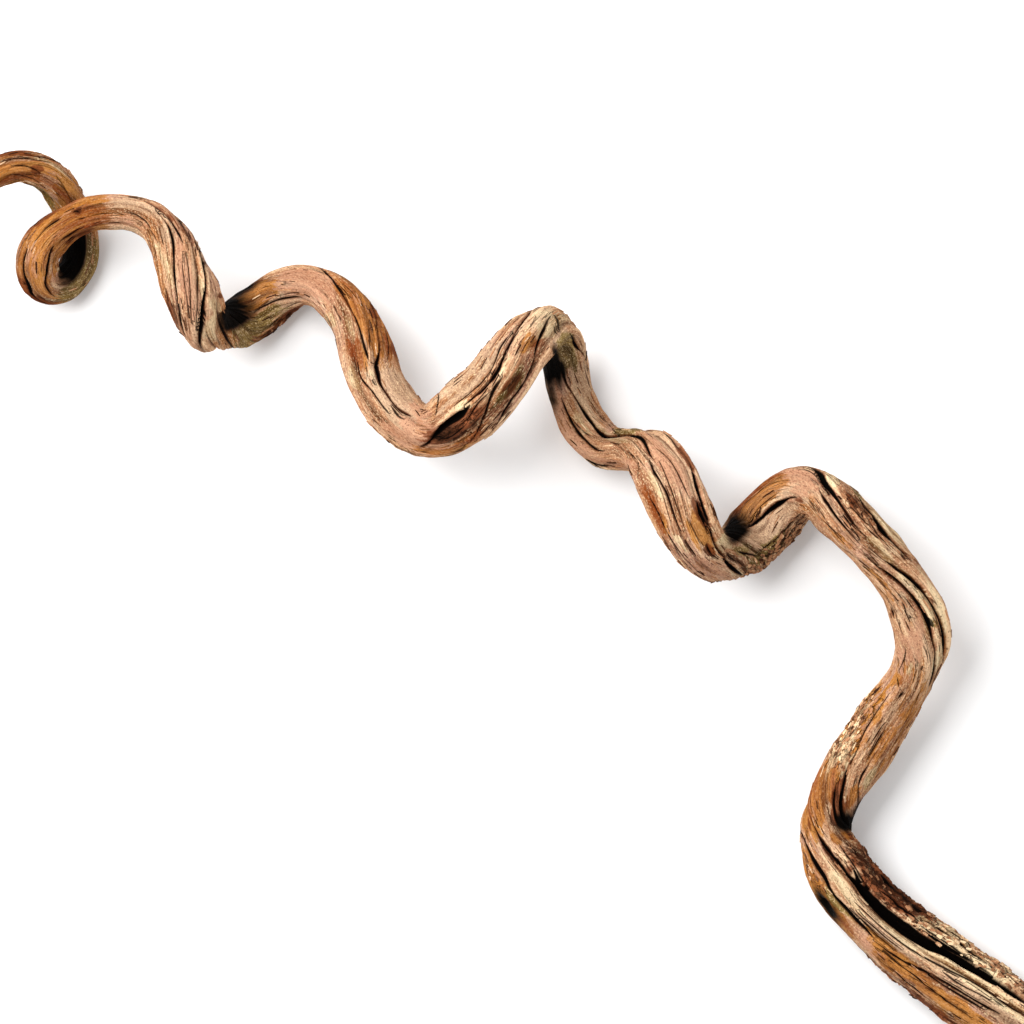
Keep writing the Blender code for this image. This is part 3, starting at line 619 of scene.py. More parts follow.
FINISHES = tuple(STAINS_AND_SHADE)
print({finish: len(stains) for finish, stains in STAINS_AND_SHADE.items()}, "stains by hand")

# %% [markdown]
# ## The fine stem
#
# The solid's facets are made for collision, so the looks get their own skin on the same route:
# the same lobes and main fissures, with rings and columns fine enough for a split bark. The
# columns turn with the grain, which keeps every ridge unbroken along a row of vertices.

# %% Rings and columns
RINGS = 860
COLUMNS = 112
RING_STEP = DENSE_LENGTH[-1] / (RINGS - 1)

ring_length = np.linspace(0, DENSE_LENGTH[-1], RINGS)
ring_points = np.interp(ring_length, DENSE_LENGTH, DENSE_POINTS)
columns = np.linspace(0, 2 * np.pi, COLUMNS, endpoint=False)
middle, outward, grain, angle = oval(ring_points, columns)
radius = np.linalg.norm(outward, axis=2)
turned = (angle + np.pi) % (2 * np.pi) - np.pi  # 0 at the top of the stem
column_step = 2 * np.pi * radius.mean() / COLUMNS
print(f"{RINGS} rings {RING_STEP:.2f} mm apart, columns about {column_step:.2f} mm apart")

# %% [markdown]
# ## From the picture to the stem
#
# A stretch that climbs steeply leans back, so its top shows further back along the route than
# its ring is. Fissures and stains are read off the picture, so each vertex needs the place where
# the picture shows it: the nearest place on the route as seen from above, and how far aside.

# %% Where each vertex shows
VALLEY = 0.45  # share of a main fissure that is a broad valley in the skin
BUTT_VALLEY = 0.75  # the same for the cleft at the thick end
BUTT_DEPTH = (4.5, 6.5)  # millimetres of depth from which a valley counts as that cleft, and fully
WIDEST = 1.1  # how far aside the lobes reach, as a share of half the width
SEARCH_STEPS = 12  # steps towards the place where the picture shows a vertex
SEARCH_SHARE = 0.6  # share of the way that each step goes

valleys = main_fissure_depth(ring_points[:, None], grain)
for blur in range(2):
    valleys = 0.5 * valleys + 0.25 * (np.roll(valleys, 1, axis=1) + np.roll(valleys, -1, axis=1))
as_butt = np.clip((valleys - BUTT_DEPTH[0]) / (BUTT_DEPTH[1] - BUTT_DEPTH[0]), 0, 1)
valleys *= VALLEY + (BUTT_VALLEY - VALLEY) * as_butt
plain_height = radius * lobed(grain) - valleys
DENSE_PLAN = length_so_far(dense_middle[:, :2])
plan_way = np.gradient(dense_middle[:, :2], DENSE_PLAN, axis=0)
plan_way /= np.linalg.norm(plan_way, axis=1)[:, None]


def on_plan(values, plan):
    """Values along the route, read where the plan is this long."""
    return np.interp(plan, DENSE_PLAN, values)


def place_in_picture():
    """The point of the route beside which each vertex shows, and how far aside, 1 at the left edge."""
    seen = (middle[:, None, :] + outward * (plain_height / radius)[..., None])[..., :2]
    plan = np.repeat(np.interp(ring_points, DENSE_POINTS, DENSE_PLAN)[:, None], COLUMNS, axis=1)
    for step in range(SEARCH_STEPS):
        away_x = seen[..., 0] - on_plan(dense_middle[:, 0], plan)
        away_y = seen[..., 1] - on_plan(dense_middle[:, 1], plan)
        way_x, way_y = on_plan(plan_way[:, 0], plan), on_plan(plan_way[:, 1], plan)
        plan = plan + SEARCH_SHARE * (away_x * way_x + away_y * way_y)
    aside = (away_y * way_x - away_x * way_y) / on_plan(dense_half_width, plan)
    return on_plan(DENSE_POINTS, plan), aside


seen_point, seen_aside = place_in_picture()
in_sight = np.abs(turned) < np.pi / 2
shift = np.abs(seen_point - ring_points[:, None])[in_sight].max()
print("shown furthest from its ring:", round(float(shift), 2), "points")

# %% [markdown]
# ## Cutting the fissures
#
# Each fissure is a curved V with a low lip on both sides, where the drying bark lifted, in a
# shallow valley between two strands. The mesh is too coarse for the thin ones. So every vertex
# also keeps how far it is from the middle of the nearest fissure, and the finish paints the
# fissure's shade from that as a dark line, sharper than the mesh.

# %% A cut along a line on the stem
LIP = 0.22  # height of a fissure's lip as a share of its depth
LIP_PLACE = 1.7  # how far from the middle the lip is highest, in half widths of the cut
LIP_REACH = 0.6  # half the lip's own width, in the same
DEEPEST_FOR_LIP = 2.5  # millimetres of depth past which the lip grows no higher
FINEST_CUT = 0.7  # half the width, in millimetres, of the narrowest cut that the mesh can hold
GROOVE_SHARE = 1.2  # how much wider the cut in the mesh is than the dark line in the finish
GROOVE_MARGIN = 0.25  # millimetres more on each side
THINNEST_LINE = 0.05  # half the width, in millimetres, under which no dark line is drawn
STRAND = 0.28  # depth of the valley between two strands as a share of the fissure's depth
STRAND_REACH = 2.6  # half its width in millimetres
DEEPEST_FOR_STRAND = 4  # millimetres of depth past which that valley grows no deeper
NEAR = 1.0  # millimetres beyond its edge over which a fissure colours the wood
FAR = 6.0  # millimetres from its middle past which a distance isn't told apart

cut_depth = np.zeros(angle.shape)
strand_valley = np.zeros(angle.shape)
lip_height = np.zeros(angle.shape)
fissure_line = np.zeros((*angle.shape, 4), dtype=np.float32)  # distance, half width, near, depth
line_score = np.full(angle.shape, 9.0)


def cut(where, aside, half_width, deepest):
    """Cuts one fissure at the chosen vertices, given how far each is from its middle, in millimetres."""
    wide = np.maximum(GROOVE_SHARE * half_width + GROOVE_MARGIN, FINEST_CUT)
    groove = np.clip(1 - (aside / wide) ** 2, 0, 1) ** 2
    cut_depth[where] = np.maximum(cut_depth[where], groove * deepest)
    broad = np.exp(-(aside / (STRAND_REACH + wide)) ** 2)
    valley = STRAND * np.minimum(deepest, DEEPEST_FOR_STRAND) * broad
    strand_valley[where] = np.maximum(strand_valley[where], valley)
    lip = np.exp(-((np.abs(aside) - LIP_PLACE * wide) / (LIP_REACH * wide)) ** 2)
    lip_height[where] = np.maximum(lip_height[where], LIP * np.minimum(deepest, DEEPEST_FOR_LIP) * lip)
    score = np.abs(aside) - half_width
    nearer = (score < line_score[where]) & (half_width > THINNEST_LINE)
    line_score[where] = np.where(nearer, score, line_score[where])
    parts = np.stack([np.clip(aside, -FAR, FAR), half_width, score < NEAR, deepest], axis=-1)
    fissure_line[where] = np.where(nearer[:, None], parts, fissure_line[where])


def opening(half_width):
    """Half the width of the dark line: a thin fissure looks wider than it is, for its lips shade it."""
    return half_width * np.minimum(1.0, 0.2 + 0.3 * half_width)


def narrowing(ends):
    """A fissure narrows to less than half its width at its ends."""
    return 0.4 + 0.6 * ends


STEP = 0.02  # points of the route between the places where a fissure's own line is read
SMOOTHING = 9  # of those places, over which its corners are rounded
CLOSING = 0.3  # points of the route over which it closes at each end


def cut_seen(deepest, places):
    """Cuts one fissure where the picture shows it."""
    point, across, half_width = np.array(places, dtype=float).T
    first, last = point[0], point[-1] if point[-1] < LAST_POINT else LAST_POINT + 1
    thick = np.interp(point, DENSE_POINTS, dense_half_width)
    on_rim = across * (1 + 0.4 * deepest / thick) / WIDEST  # the floor of a deep cut shows further in
    steps = np.arange(first, point[-1] + STEP / 2, STEP)
    curve = np.interp(steps, point, np.arcsin(np.clip(on_rim, -1, 1)))
    curve = np.pad(curve, SMOOTHING // 2, mode="edge")
    curve = np.convolve(curve, np.ones(SMOOTHING) / SMOOTHING, mode="valid")
    run = np.gradient(np.interp(steps, DENSE_POINTS, DENSE_PLAN))
    slope = np.gradient(curve) / run * np.interp(steps, DENSE_POINTS, dense_half_width) * WIDEST
    where = in_sight & (seen_point > first) & (seen_point < last)
    at = seen_point[where]
    line_angle, line_slope = np.interp(at, steps, curve), np.interp(at, steps, slope)
    away = np.arcsin(np.clip(seen_aside[where] / WIDEST, -1, 1)) - line_angle
    aside = away * WIDEST * np.interp(at, DENSE_POINTS, dense_half_width) / np.sqrt(1 + line_slope ** 2)
    ends = np.clip(np.minimum(at - first, last - at) / CLOSING, 0, 1)
    cut(where, aside, np.interp(at, point, opening(half_width)) * narrowing(ends), deepest * ends)


for deepest, places in SEEN_FISSURES:
    cut_seen(deepest, places)
print("deepest seen cut", round(float(cut_depth.max()), 1), "mm")

# %% [markdown]
# ## On round the back
#
# The photograph doesn't show the underside, but the stem can be picked up and turned. The main
# fissures of the solid run on there, with fine cracks between them. They could be drawn by hand
# too, but nobody can check them, so a fixed seed scatters them. Each fades where it would come
# into the camera's sight.

# %% Fissures on the side that the photograph doesn't show
FINE_CRACKS = 90
HIDDEN_CLOSING = 0.5  # points of the route over which such a fissure closes at each end
HIDDEN_DEPTH = 0.8  # depth of a main fissure there, as a share of the solid's
WANDER = 0.12  # how far, in radians, it strays from the grain
WAVES = 2.1  # how often, in radians for each point of the route
chance = np.random.default_rng(11)


def score_hidden(grain_degrees, first, last, deepest, half_width):
    """A fissure that follows the grain and shows only where it runs out of the camera's sight."""
    where = np.broadcast_to(((ring_points > first) & (ring_points < last))[:, None], angle.shape)
    at = np.broadcast_to(ring_points[:, None], angle.shape)[where]
    wander = WANDER * np.sin(WAVES * at + grain_degrees)
    away = (grain[where] - np.radians(grain_degrees) - wander + np.pi) % (2 * np.pi) - np.pi
    out_of_sight = np.clip(0.4 - 4 * np.cos(angle[where] - away), 0, 1)
    ends = np.clip(np.minimum(at - first, last - at) / HIDDEN_CLOSING, 0, 1)
    width_there = half_width * out_of_sight * narrowing(ends)
    cut(where, away * radius[where], width_there, deepest * out_of_sight * ends)


for grain_degrees, first, last, deepest, half_angle in FISSURES:
    score_hidden(grain_degrees, first, last, HIDDEN_DEPTH * deepest, 0.9 + 0.15 * deepest)
for crack in range(FINE_CRACKS):
    first = chance.uniform(0, LAST_POINT - 2)
    last = first + chance.uniform(1.2, 5)
    score_hidden(chance.uniform(0, 360), first, last, chance.uniform(0.4, 1.1), chance.uniform(0.25, 0.7))
print(len(FISSURES), "main and", FINE_CRACKS, "fine fissures run on round the back")

# %% [markdown]
# ## Where each finish lies
#
# A stain could be painted on an unrolled picture of the stem, but a mesh this long would need a
# large one. The skin has nearly a hundred thousand vertices, so each simply holds how much of
# each finish it has, in two colour attributes of four parts each.

# %% Shares of the finishes on every vertex
HIDDEN_STAINS = 110
ALONG_BLUR = 1.1  # points of the route over which a stain begins, for the finish to break up
ACROSS_BLUR = 0.32  # the same across, as a share of half the width
BLUR_SHARE = 0.6  # the most of a small stain that its blur may take
SHADE_EDGE = 0.95  # where on the side of the stem the painted shade starts to thin out
SHADE_FADE = 0.4  # how far on it is gone

round_back = np.sign(turned) * (1 + (np.abs(turned) - np.pi / 2) / (np.pi / 2))
seen_across = np.where(in_sight, seen_aside, round_back)  # -2 to 2 all round the stem
shares = {finish: np.zeros(angle.shape) for finish in FINISHES}


def well_within(places, first, last, blur):
    """1 well inside a stretch, 0 outside it, with a soft edge."""
    soft = min(blur, BLUR_SHARE * (last - first))
    return np.clip(np.minimum(places - first, last - places) / soft + 0.5, 0, 1)


def lay_stain_and_shade(finish, first, last, right, left, strength=1.0):
    """Adds one stain, or one stretch of painted shade, to its finish."""
    along = well_within(seen_point, first, last, ALONG_BLUR)
    across = well_within(seen_across, right, left, ACROSS_BLUR)
    share = along * across * strength
    if finish == "painted_shade":  # painted shade where two turns shade each other, thinning out round the side
        share = share * np.clip(1 - (np.abs(seen_across) - SHADE_EDGE) / SHADE_FADE, 0, 1)
    shares[finish] = np.maximum(shares[finish], share)


for finish, stains in STAINS_AND_SHADE.items():
    for stain in stains:
        lay_stain_and_shade(finish, *stain)
for stain in range(HIDDEN_STAINS):
    finish = FINISHES[chance.integers(0, len(FINISHES))]
    # no painted shade out of sight: umber takes its place
    if finish == "painted_shade":
        finish = "umber"
    first = chance.uniform(-0.5, LAST_POINT - 0.5)
    near_edge = chance.uniform(1.0, 1.7)
    far_edge = near_edge + chance.uniform(0.3, 0.8)
    side = 1 if stain % 2 else -1
    edges = sorted((side * near_edge, side * far_edge))
    lay_stain_and_shade(finish, first, first + chance.uniform(0.8, 2.5), *edges)
print({finish: f"{share.mean():.0%}" for finish, share in shares.items()})

# %% [markdown]
# ## Building the skin
#
# The skin is a closed tube. Each end is a flat saw cut with rings of vertices towards the heart,
# so that its rim can follow the lobes and its growth rings have points to sit on.

# %% Vertices and faces
CAP_SHARES = (0.985, 0.8, 0.62, 0.45, 0.28, 0.13)  # rings of vertices over a saw cut, as shares of its rim
HOLLOW_SPAN = 9  # rings and columns over which a hollow is told from its surroundings
HEARTWOOD = 0.42  # share of the radius that no cut goes into
MOST_SHADED_RELIEF = 2  # millimetres above or below its surroundings that the finish tells apart, for its painted light on ridges and shade in hollows

height = np.maximum(plain_height - cut_depth - strand_valley + lip_height, HEARTWOOD * radius)
skin = middle[:, None, :] + outward * (height / radius)[..., None]


def surroundings(values):
    """Mean of the values round each vertex."""
    reach = HOLLOW_SPAN // 2
    near = sum(np.roll(values, shift, axis=1) for shift in range(-reach, reach + 1))
    ends = np.pad(near / HOLLOW_SPAN, ((reach, reach), (0, 0)), mode="edge")
    return sum(ends[shift:shift + RINGS] for shift in range(HOLLOW_SPAN)) / HOLLOW_SPAN


# How far each vertex stands out: the finish paints light on ridges and shade in hollows from it
standing_out = np.clip(height - surroundings(height), -MOST_SHADED_RELIEF, MOST_SHADED_RELIEF)
print("the skin lies up to", round(float(-standing_out.min()), 1), "mm below its surroundings")


def cap_rows(end):
    """Rings of vertices over the saw cut, from the rim to the heart."""
    heart = skin[end].mean(axis=0)
    return [heart + (skin[end] - heart) * share for share in CAP_SHARES], heart


def grid_faces(rows):
    """Quads between neighbouring rows of COLUMNS vertices."""
    faces = []
    for row in range(rows - 1):
        for column in range(COLUMNS):
            here = row * COLUMNS + column
            beside = row * COLUMNS + (column + 1) % COLUMNS
            faces.append((here, beside, beside + COLUMNS, here + COLUMNS))
    return faces


def place_all():
    """All vertices in millimetres in the frame, with the rows that continue each end inwards."""
    thin_rows, thin_heart = cap_rows(0)
    thick_rows, thick_heart = cap_rows(-1)
    rows = thin_rows[::-1] + list(skin) + thick_rows
    points = np.concatenate([*rows, thin_heart[None], thick_heart[None]]) + to_frame
    low, high = np.array(cad_low) / MM, np.array(cad_high) / MM
    return np.clip(points, low, high), len(rows)


points, row_count = place_all()
faces = grid_faces(row_count)
thin_heart, thick_heart = row_count * COLUMNS, row_count * COLUMNS + 1
last_row = (row_count - 1) * COLUMNS
for column in range(COLUMNS):
    after = (column + 1) % COLUMNS
    faces.append((thin_heart, after, column))
    faces.append((thick_heart, last_row + column, last_row + after))
print(len(points), "vertices,", 2 * len(faces) - 2 * COLUMNS, "triangles")

# %% The mesh and its attributes
GRAIN_RADIUS = 12.5  # one radius, in millimetres, for the grain's own coordinates all along the stem


def on_all_vertices(values):
    """Values of the tube's vertices, carried on over both saw cuts."""
    rim = len(CAP_SHARES)
    over_thin = np.repeat(values[:1], rim, axis=0)
    over_thick = np.repeat(values[-1:], rim, axis=0)
    body = np.concatenate([over_thin, values, over_thick]).reshape(-1, *values.shape[2:])
    hearts = np.stack([values[0].mean(axis=0), values[-1].mean(axis=0)])
    return np.concatenate([body, hearts])


def add_values(mesh, name, kind, values):
    """Writes one value a vertex into a named attribute."""
    field = {"FLOAT": "value", "FLOAT_VECTOR": "vector", "FLOAT_COLOR": "color"}[kind]
    attribute = mesh.attributes.new(name, kind, "POINT")
    attribute.data.foreach_set(field, np.asarray(values, dtype=np.float32).ravel())


def sawn_values():
    """Place on a saw cut, with 1 at its rim, and whether a vertex is on one at all."""
    values = np.zeros((row_count, COLUMNS, 3))
    rim = np.column_stack([np.cos(columns), np.sin(columns)])
    for number, share in enumerate(CAP_SHARES):
        for row in (len(CAP_SHARES) - 1 - number, row_count - len(CAP_SHARES) + number):
            values[row] = np.column_stack([share * rim, np.ones(COLUMNS)])
    return np.concatenate([values.reshape(-1, 3), [(0, 0, 1), (0, 0, 1)]])


def build_skin():
    """The closed mesh of bark and wood, with all that the finish reads on its vertices."""
    mesh = bpy.data.meshes.new("liana_bark_and_wood")
    mesh.from_pydata((points * MM).tolist(), [], faces)
    along = np.broadcast_to(ring_length[:, None], angle.shape)
    place = np.stack([along, GRAIN_RADIUS * np.cos(grain), GRAIN_RADIUS * np.sin(grain)], axis=-1) * MM
    way = np.gradient(skin, axis=0)
    way /= np.linalg.norm(way, axis=2)[..., None]
    add_values(mesh, "grain_place", "FLOAT_VECTOR", on_all_vertices(place))
    add_values(mesh, "grain_way", "FLOAT_VECTOR", on_all_vertices(way))
    add_values(mesh, "fissure_line", "FLOAT_COLOR", on_all_vertices(fissure_line))
    add_values(mesh, "standing_out", "FLOAT", on_all_vertices(standing_out))
    add_values(mesh, "sawn", "FLOAT_VECTOR", sawn_values())
    # Shares of the stains and of the painted shade; the cream stain holds painted highlights too
    stacked = [shares[finish] for finish in FINISHES]
    add_values(mesh, "stain_a", "FLOAT_COLOR", on_all_vertices(np.stack(stacked[:4], axis=-1)))
    add_values(mesh, "stain_b", "FLOAT_COLOR", on_all_vertices(np.stack(stacked[4:], axis=-1)))
    mesh.polygons.foreach_set("use_smooth", np.ones(len(faces), dtype=bool))
    piece = bpy.data.objects.new("liana_bark_and_wood", mesh)
    bpy.context.scene.collection.objects.link(piece)
    return piece


bark = build_skin()
kept_on_vertices = [attribute.name for attribute in bark.data.attributes if attribute.domain == "POINT"]
print(bark.name, "holds", kept_on_vertices)

# %% [markdown]
# ## The wood and bark finish
#
# The finish is built up as the real one weathered: bare pinkish wood with streaks along the
# grain, seven stains over it, then hairline cracks. Light and shade are painted in as well:
# highlights in the cream stain, light on ridges and shade in hollows, and black shade in the
# fissures and in the crooks where one turn shades the next. All the noise reads the grain's own
# coordinates and is stretched along them, so nothing runs across the wood.

# %% Helpers for shader and geometry trees
def put(tree, kind, inputs=None, **settings):
    """Adds a node, sets its options, and sets or links its inputs by name or number."""
    node = tree.nodes.new(kind)
    for name, value in settings.items():
        setattr(node, name, value)
    for name, value in (inputs or {}).items():
        if isinstance(value, bpy.types.NodeSocket):
            tree.links.new(value, node.inputs[name])
        else:
            node.inputs[name].default_value = value
    return node


def maths(tree, operation, *values, clamp=False):
    """One Math node; gives its output."""
    node = put(tree, "ShaderNodeMath", dict(enumerate(values)), operation=operation, use_clamp=clamp)
    return node.outputs[0]


def smooth_step(tree, value, low, high, to_low=0.0, to_high=1.0):
    """Rises from to_low to to_high without a corner as the value goes from low to high."""
    inputs = {"Value": value, "From Min": low, "From Max": high, "To Min": to_low, "To Max": to_high}
    return put(tree, "ShaderNodeMapRange", inputs, interpolation_type="SMOOTHSTEP").outputs[0]


def noise(tree, vector, scale, detail):
    """Plain noise; gives its value."""
    inputs = {"Vector": vector, "Scale": scale, "Detail": detail}
    return put(tree, "ShaderNodeTexNoise", inputs).outputs[0]


def along_grain(tree, place, scale, shift, detail=3.0, rough=0.55):
    """Noise stretched along the grain. The scale is along and across, in waves a metre."""
    stretched = put(tree, "ShaderNodeVectorMath", {0: place, 1: (scale[0], scale[1], scale[1]),
                                                   2: (shift, shift, -shift)}, operation="MULTIPLY_ADD")
    inputs = {"Vector": stretched.outputs[0], "Scale": 1.0, "Detail": detail, "Roughness": rough}
    return put(tree, "ShaderNodeTexNoise", inputs).outputs[0]


def mix(tree, share, under, over):
    """Lays one colour over another."""
    node = put(tree, "ShaderNodeMix", {0: share}, data_type="RGBA", clamp_factor=True)
    for socket, colour in ((node.inputs[6], under), (node.inputs[7], over)):
        if isinstance(colour, bpy.types.NodeSocket):
            tree.links.new(colour, socket)
        else:
            socket.default_value = colour
    return node.outputs[2]


# %% Colours of the eight finishes, each as a dark and a light streak
WOOD_DARK = srgb(86, 47, 24)
WOOD = srgb(181, 131, 96)
WOOD_LIGHT = srgb(240, 200, 158)
WOOD_PINK = srgb(196, 150, 123)  # where the sun has bleached it
WOOD_GOLD = srgb(172, 112, 66)
PALE_STRAND = srgb(222, 184, 148)
DARK_STRAND = srgb(122, 64, 36)
RUST = srgb(122, 48, 10)
GOLD = srgb(186, 118, 22)
STAIN_AND_SHADE_COLOURS = {
    "ochre": (srgb(88, 40, 8), srgb(190, 118, 42)),
    # pale dry skin with painted highlights
    "cream_and_highlight": (srgb(142, 102, 60), srgb(246, 222, 178)),
    "grey": (srgb(136, 104, 77), srgb(204, 171, 140)),
    "olive": (srgb(58, 48, 16), srgb(144, 122, 60)),
    "umber": (srgb(44, 17, 8), srgb(130, 66, 34)),
    # painted shade of the crooks, near black
    "painted_shade": (srgb(1, 0, 0), srgb(12, 7, 3)),
    "crust": (srgb(42, 22, 13), srgb(188, 138, 100)),
    "peach": (srgb(166, 112, 82), srgb(202, 152, 121)),
}
FIRST_TO_LAST = ("grey", "peach", "crust", "ochre", "olive", "cream_and_highlight", "umber")  # the painted shade lies over the cracks
STRENGTH = dict.fromkeys(FIRST_TO_LAST, 0.82) | {"grey": 0.7, "cream_and_highlight": 0.75, "umber": 0.88}
PALE_GRIT = srgb(246, 214, 168)
DARK_GRIT = srgb(74, 38, 19)
# painted shade in the hollows of the skin
HOLLOW_SHADE_COLOUR = srgb(52, 25, 12)
CRACK_COLOUR = srgb(50, 24, 12)
# painted shade at the lips of the fissures and inside them
LIP_SHADE_COLOUR = srgb(82, 38, 17)
FISSURE_SHADE_COLOUR = srgb(4, 2, 1)
BARK_SHINE = 0.03  # dry bark hardly shines
BARK_BUMP = 0.0016  # metres
print(len(STAIN_AND_SHADE_COLOURS), "stains over bare wood")


# %% The patterns along the grain
def named_value(tree, name):
    """Reads one of the skin's attributes in a shader tree, as a vector."""
    return put(tree, "ShaderNodeAttribute", attribute_name=name).outputs["Vector"]


def bark_patterns(tree):
    """Every noise that the finish is drawn from."""
    place = named_value(tree, "grain_place")
    return {
        "place": place,
        "streaks": along_grain(tree, place, (11, 280), 3.1, detail=4.0, rough=0.6),
        "fibres": along_grain(tree, place, (60, 1150), 7.7, detail=3.0, rough=0.65),
        "mottle": along_grain(tree, place, (110, 240), 1.3, detail=5.0, rough=0.7),
        "grit": along_grain(tree, place, (900, 1500), 5.9, detail=2.0, rough=0.7),
        "cracks": along_grain(tree, place, (11, 330), 9.4, detail=3.0, rough=0.5),
        "weather": along_grain(tree, place, (28, 55), 4.8, detail=3.0, rough=0.6),
        "strands": along_grain(tree, place, (13, 120), 8.8, detail=3.0, rough=0.6),
    }


BREAK_UP = 3.4  # how strongly the patterns eat into the edge of a stain
SHADE_BREAK_UP = 0.4  # the painted shade is no stain, so its edge stays soft
STAIN_STEP = (0.38, 0.72)  # share at which a stain begins to show, and shows fully
SHADE_STEP = (0.0, 0.9)


def stain_and_shade_shares(tree, patterns):
    """How much of each finish a place has, its edge broken up by the patterns."""
    edge = maths(tree, "ADD", maths(tree, "MULTIPLY", patterns["mottle"], 0.55),
                 maths(tree, "MULTIPLY", patterns["streaks"], 0.45))
    edge = maths(tree, "MULTIPLY", maths(tree, "SUBTRACT", edge, 0.5), BREAK_UP)
    cover = {}
    for number, finish in enumerate(FINISHES):
        if number % 4 == 0:
            source = put(tree, "ShaderNodeAttribute", attribute_name=("stain_a", "stain_b")[number // 4])
            parts = put(tree, "ShaderNodeSeparateXYZ", {0: source.outputs["Vector"]})
        share = source.outputs["Alpha"] if number % 4 == 3 else parts.outputs[number % 4]
        break_up = -1.0 if number % 2 else 1.0  # neighbours in the list break up the opposite way
        step = STAIN_STEP
        if finish == "painted_shade":
            break_up, step = SHADE_BREAK_UP, SHADE_STEP
        broken = maths(tree, "MULTIPLY_ADD", edge, break_up, share)
        within = smooth_step(tree, share, 0.02, 0.25)
        cover[finish] = maths(tree, "MULTIPLY", smooth_step(tree, broken, *step), within)
    return cover


# %% Colour under the cracks
def stained_wood(tree, patterns, cover):
    """Streaked wood with its stains, flakes and grit, painted lighter on ridges and with painted shade in
    hollows.
    """
    tone = maths(tree, "MULTIPLY", patterns["streaks"], 0.4)
    tone = maths(tree, "MULTIPLY_ADD", patterns["mottle"], 0.28, tone)
    tone = maths(tree, "MULTIPLY_ADD", patterns["fibres"], 0.32, tone)
    calm = maths(tree, "MULTIPLY_ADD", maths(tree, "MAXIMUM", cover["peach"], cover["grey"]), -0.5, 1.0)
    tone = maths(tree, "MULTIPLY_ADD", maths(tree, "SUBTRACT", tone, 0.53), calm, 0.53)
    # Painted light on ridges and painted shade in hollows, from how far the skin stands out
    relief_light_and_shade = put(tree, "ShaderNodeAttribute", attribute_name="standing_out").outputs["Fac"]
    tone = maths(tree, "MULTIPLY_ADD", relief_light_and_shade, 0.12, tone)
    colour = mix(tree, smooth_step(tree, patterns["weather"], 0.5, 0.64), WOOD, WOOD_PINK)
    colour = mix(tree, smooth_step(tree, patterns["weather"], 0.47, 0.34), colour, WOOD_GOLD)
    colour = mix(tree, smooth_step(tree, patterns["strands"], 0.53, 0.66, 0.0, 0.75), colour, PALE_STRAND)
    colour = mix(tree, smooth_step(tree, patterns["strands"], 0.45, 0.33, 0.0, 0.6), colour, DARK_STRAND)
    colour = mix(tree, smooth_step(tree, tone, 0.36, 0.5), WOOD_DARK, colour)
    colour = mix(tree, smooth_step(tree, tone, 0.52, 0.66), colour, WOOD_LIGHT)
    for finish in FIRST_TO_LAST:
        dark, light = STAIN_AND_SHADE_COLOURS[finish]
        own = mix(tree, smooth_step(tree, tone, 0.38, 0.62), dark, light)
        if finish == "ochre":
            own = mix(tree, smooth_step(tree, patterns["strands"], 0.52, 0.4, 0.0, 0.8), own, RUST)
            own = mix(tree, smooth_step(tree, patterns["weather"], 0.5, 0.62, 0.0, 0.7), own, GOLD)
        colour = mix(tree, maths(tree, "MULTIPLY", cover[finish], STRENGTH[finish]), colour, own)
    clean = maths(tree, "SUBTRACT", 1.0, maths(tree, "MAXIMUM", cover["painted_shade"], cover["umber"]))
    clean = maths(tree, "MULTIPLY", clean, maths(tree, "MULTIPLY_ADD", cover["ochre"], -0.75, 1.0))
    clean = maths(tree, "MULTIPLY", clean, maths(tree, "MULTIPLY_ADD", cover["peach"], -0.55, 1.0))
    pale = maths(tree, "MULTIPLY", smooth_step(tree, patterns["grit"], 0.55, 0.66), clean)
    dark = smooth_step(tree, patterns["grit"], 0.45, 0.3)
    colour = mix(tree, maths(tree, "MULTIPLY", pale, 0.62), colour, PALE_GRIT)
    colour = mix(tree, maths(tree, "MULTIPLY", dark, 0.75), colour, DARK_GRIT)
    # Painted shade, dark brown, deep in the hollows
    return mix(tree, smooth_step(tree, relief_light_and_shade, -0.1, -0.9, 0.0, 0.75), colour, HOLLOW_SHADE_COLOUR)


# %% Crust, hairline cracks and fissures
def crust_cracks(tree, patterns, cover):
    """Short crooked cracks in every direction, where the bark is crusty."""
    noise = along_grain(tree, patterns["place"], (200, 420), 12.5, detail=3.0, rough=0.6)
    gap = maths(tree, "ABSOLUTE", maths(tree, "SUBTRACT", noise, 0.5))
    where = smooth_step(tree, patterns["mottle"], 0.38, 0.56)
    cracked = maths(tree, "MULTIPLY", smooth_step(tree, gap, 0.034, 0.008), where)
    return maths(tree, "MULTIPLY", cracked, maths(tree, "MULTIPLY_ADD", cover["crust"], 0.9, 0.1))


def hairline_cracks(tree, patterns, cover):
    """Thin cracks that come and go along the grain, few of them in smooth wood."""
    gap = maths(tree, "ABSOLUTE", maths(tree, "SUBTRACT", patterns["cracks"], 0.5))
    where = smooth_step(tree, patterns["mottle"], 0.44, 0.56)
    smooth_wood = maths(tree, "MAXIMUM", cover["peach"], cover["grey"])
    where = maths(tree, "MULTIPLY", where, maths(tree, "MULTIPLY_ADD", smooth_wood, -0.8, 1.0))
    return maths(tree, "MULTIPLY", smooth_step(tree, gap, 0.017, 0.004), where)


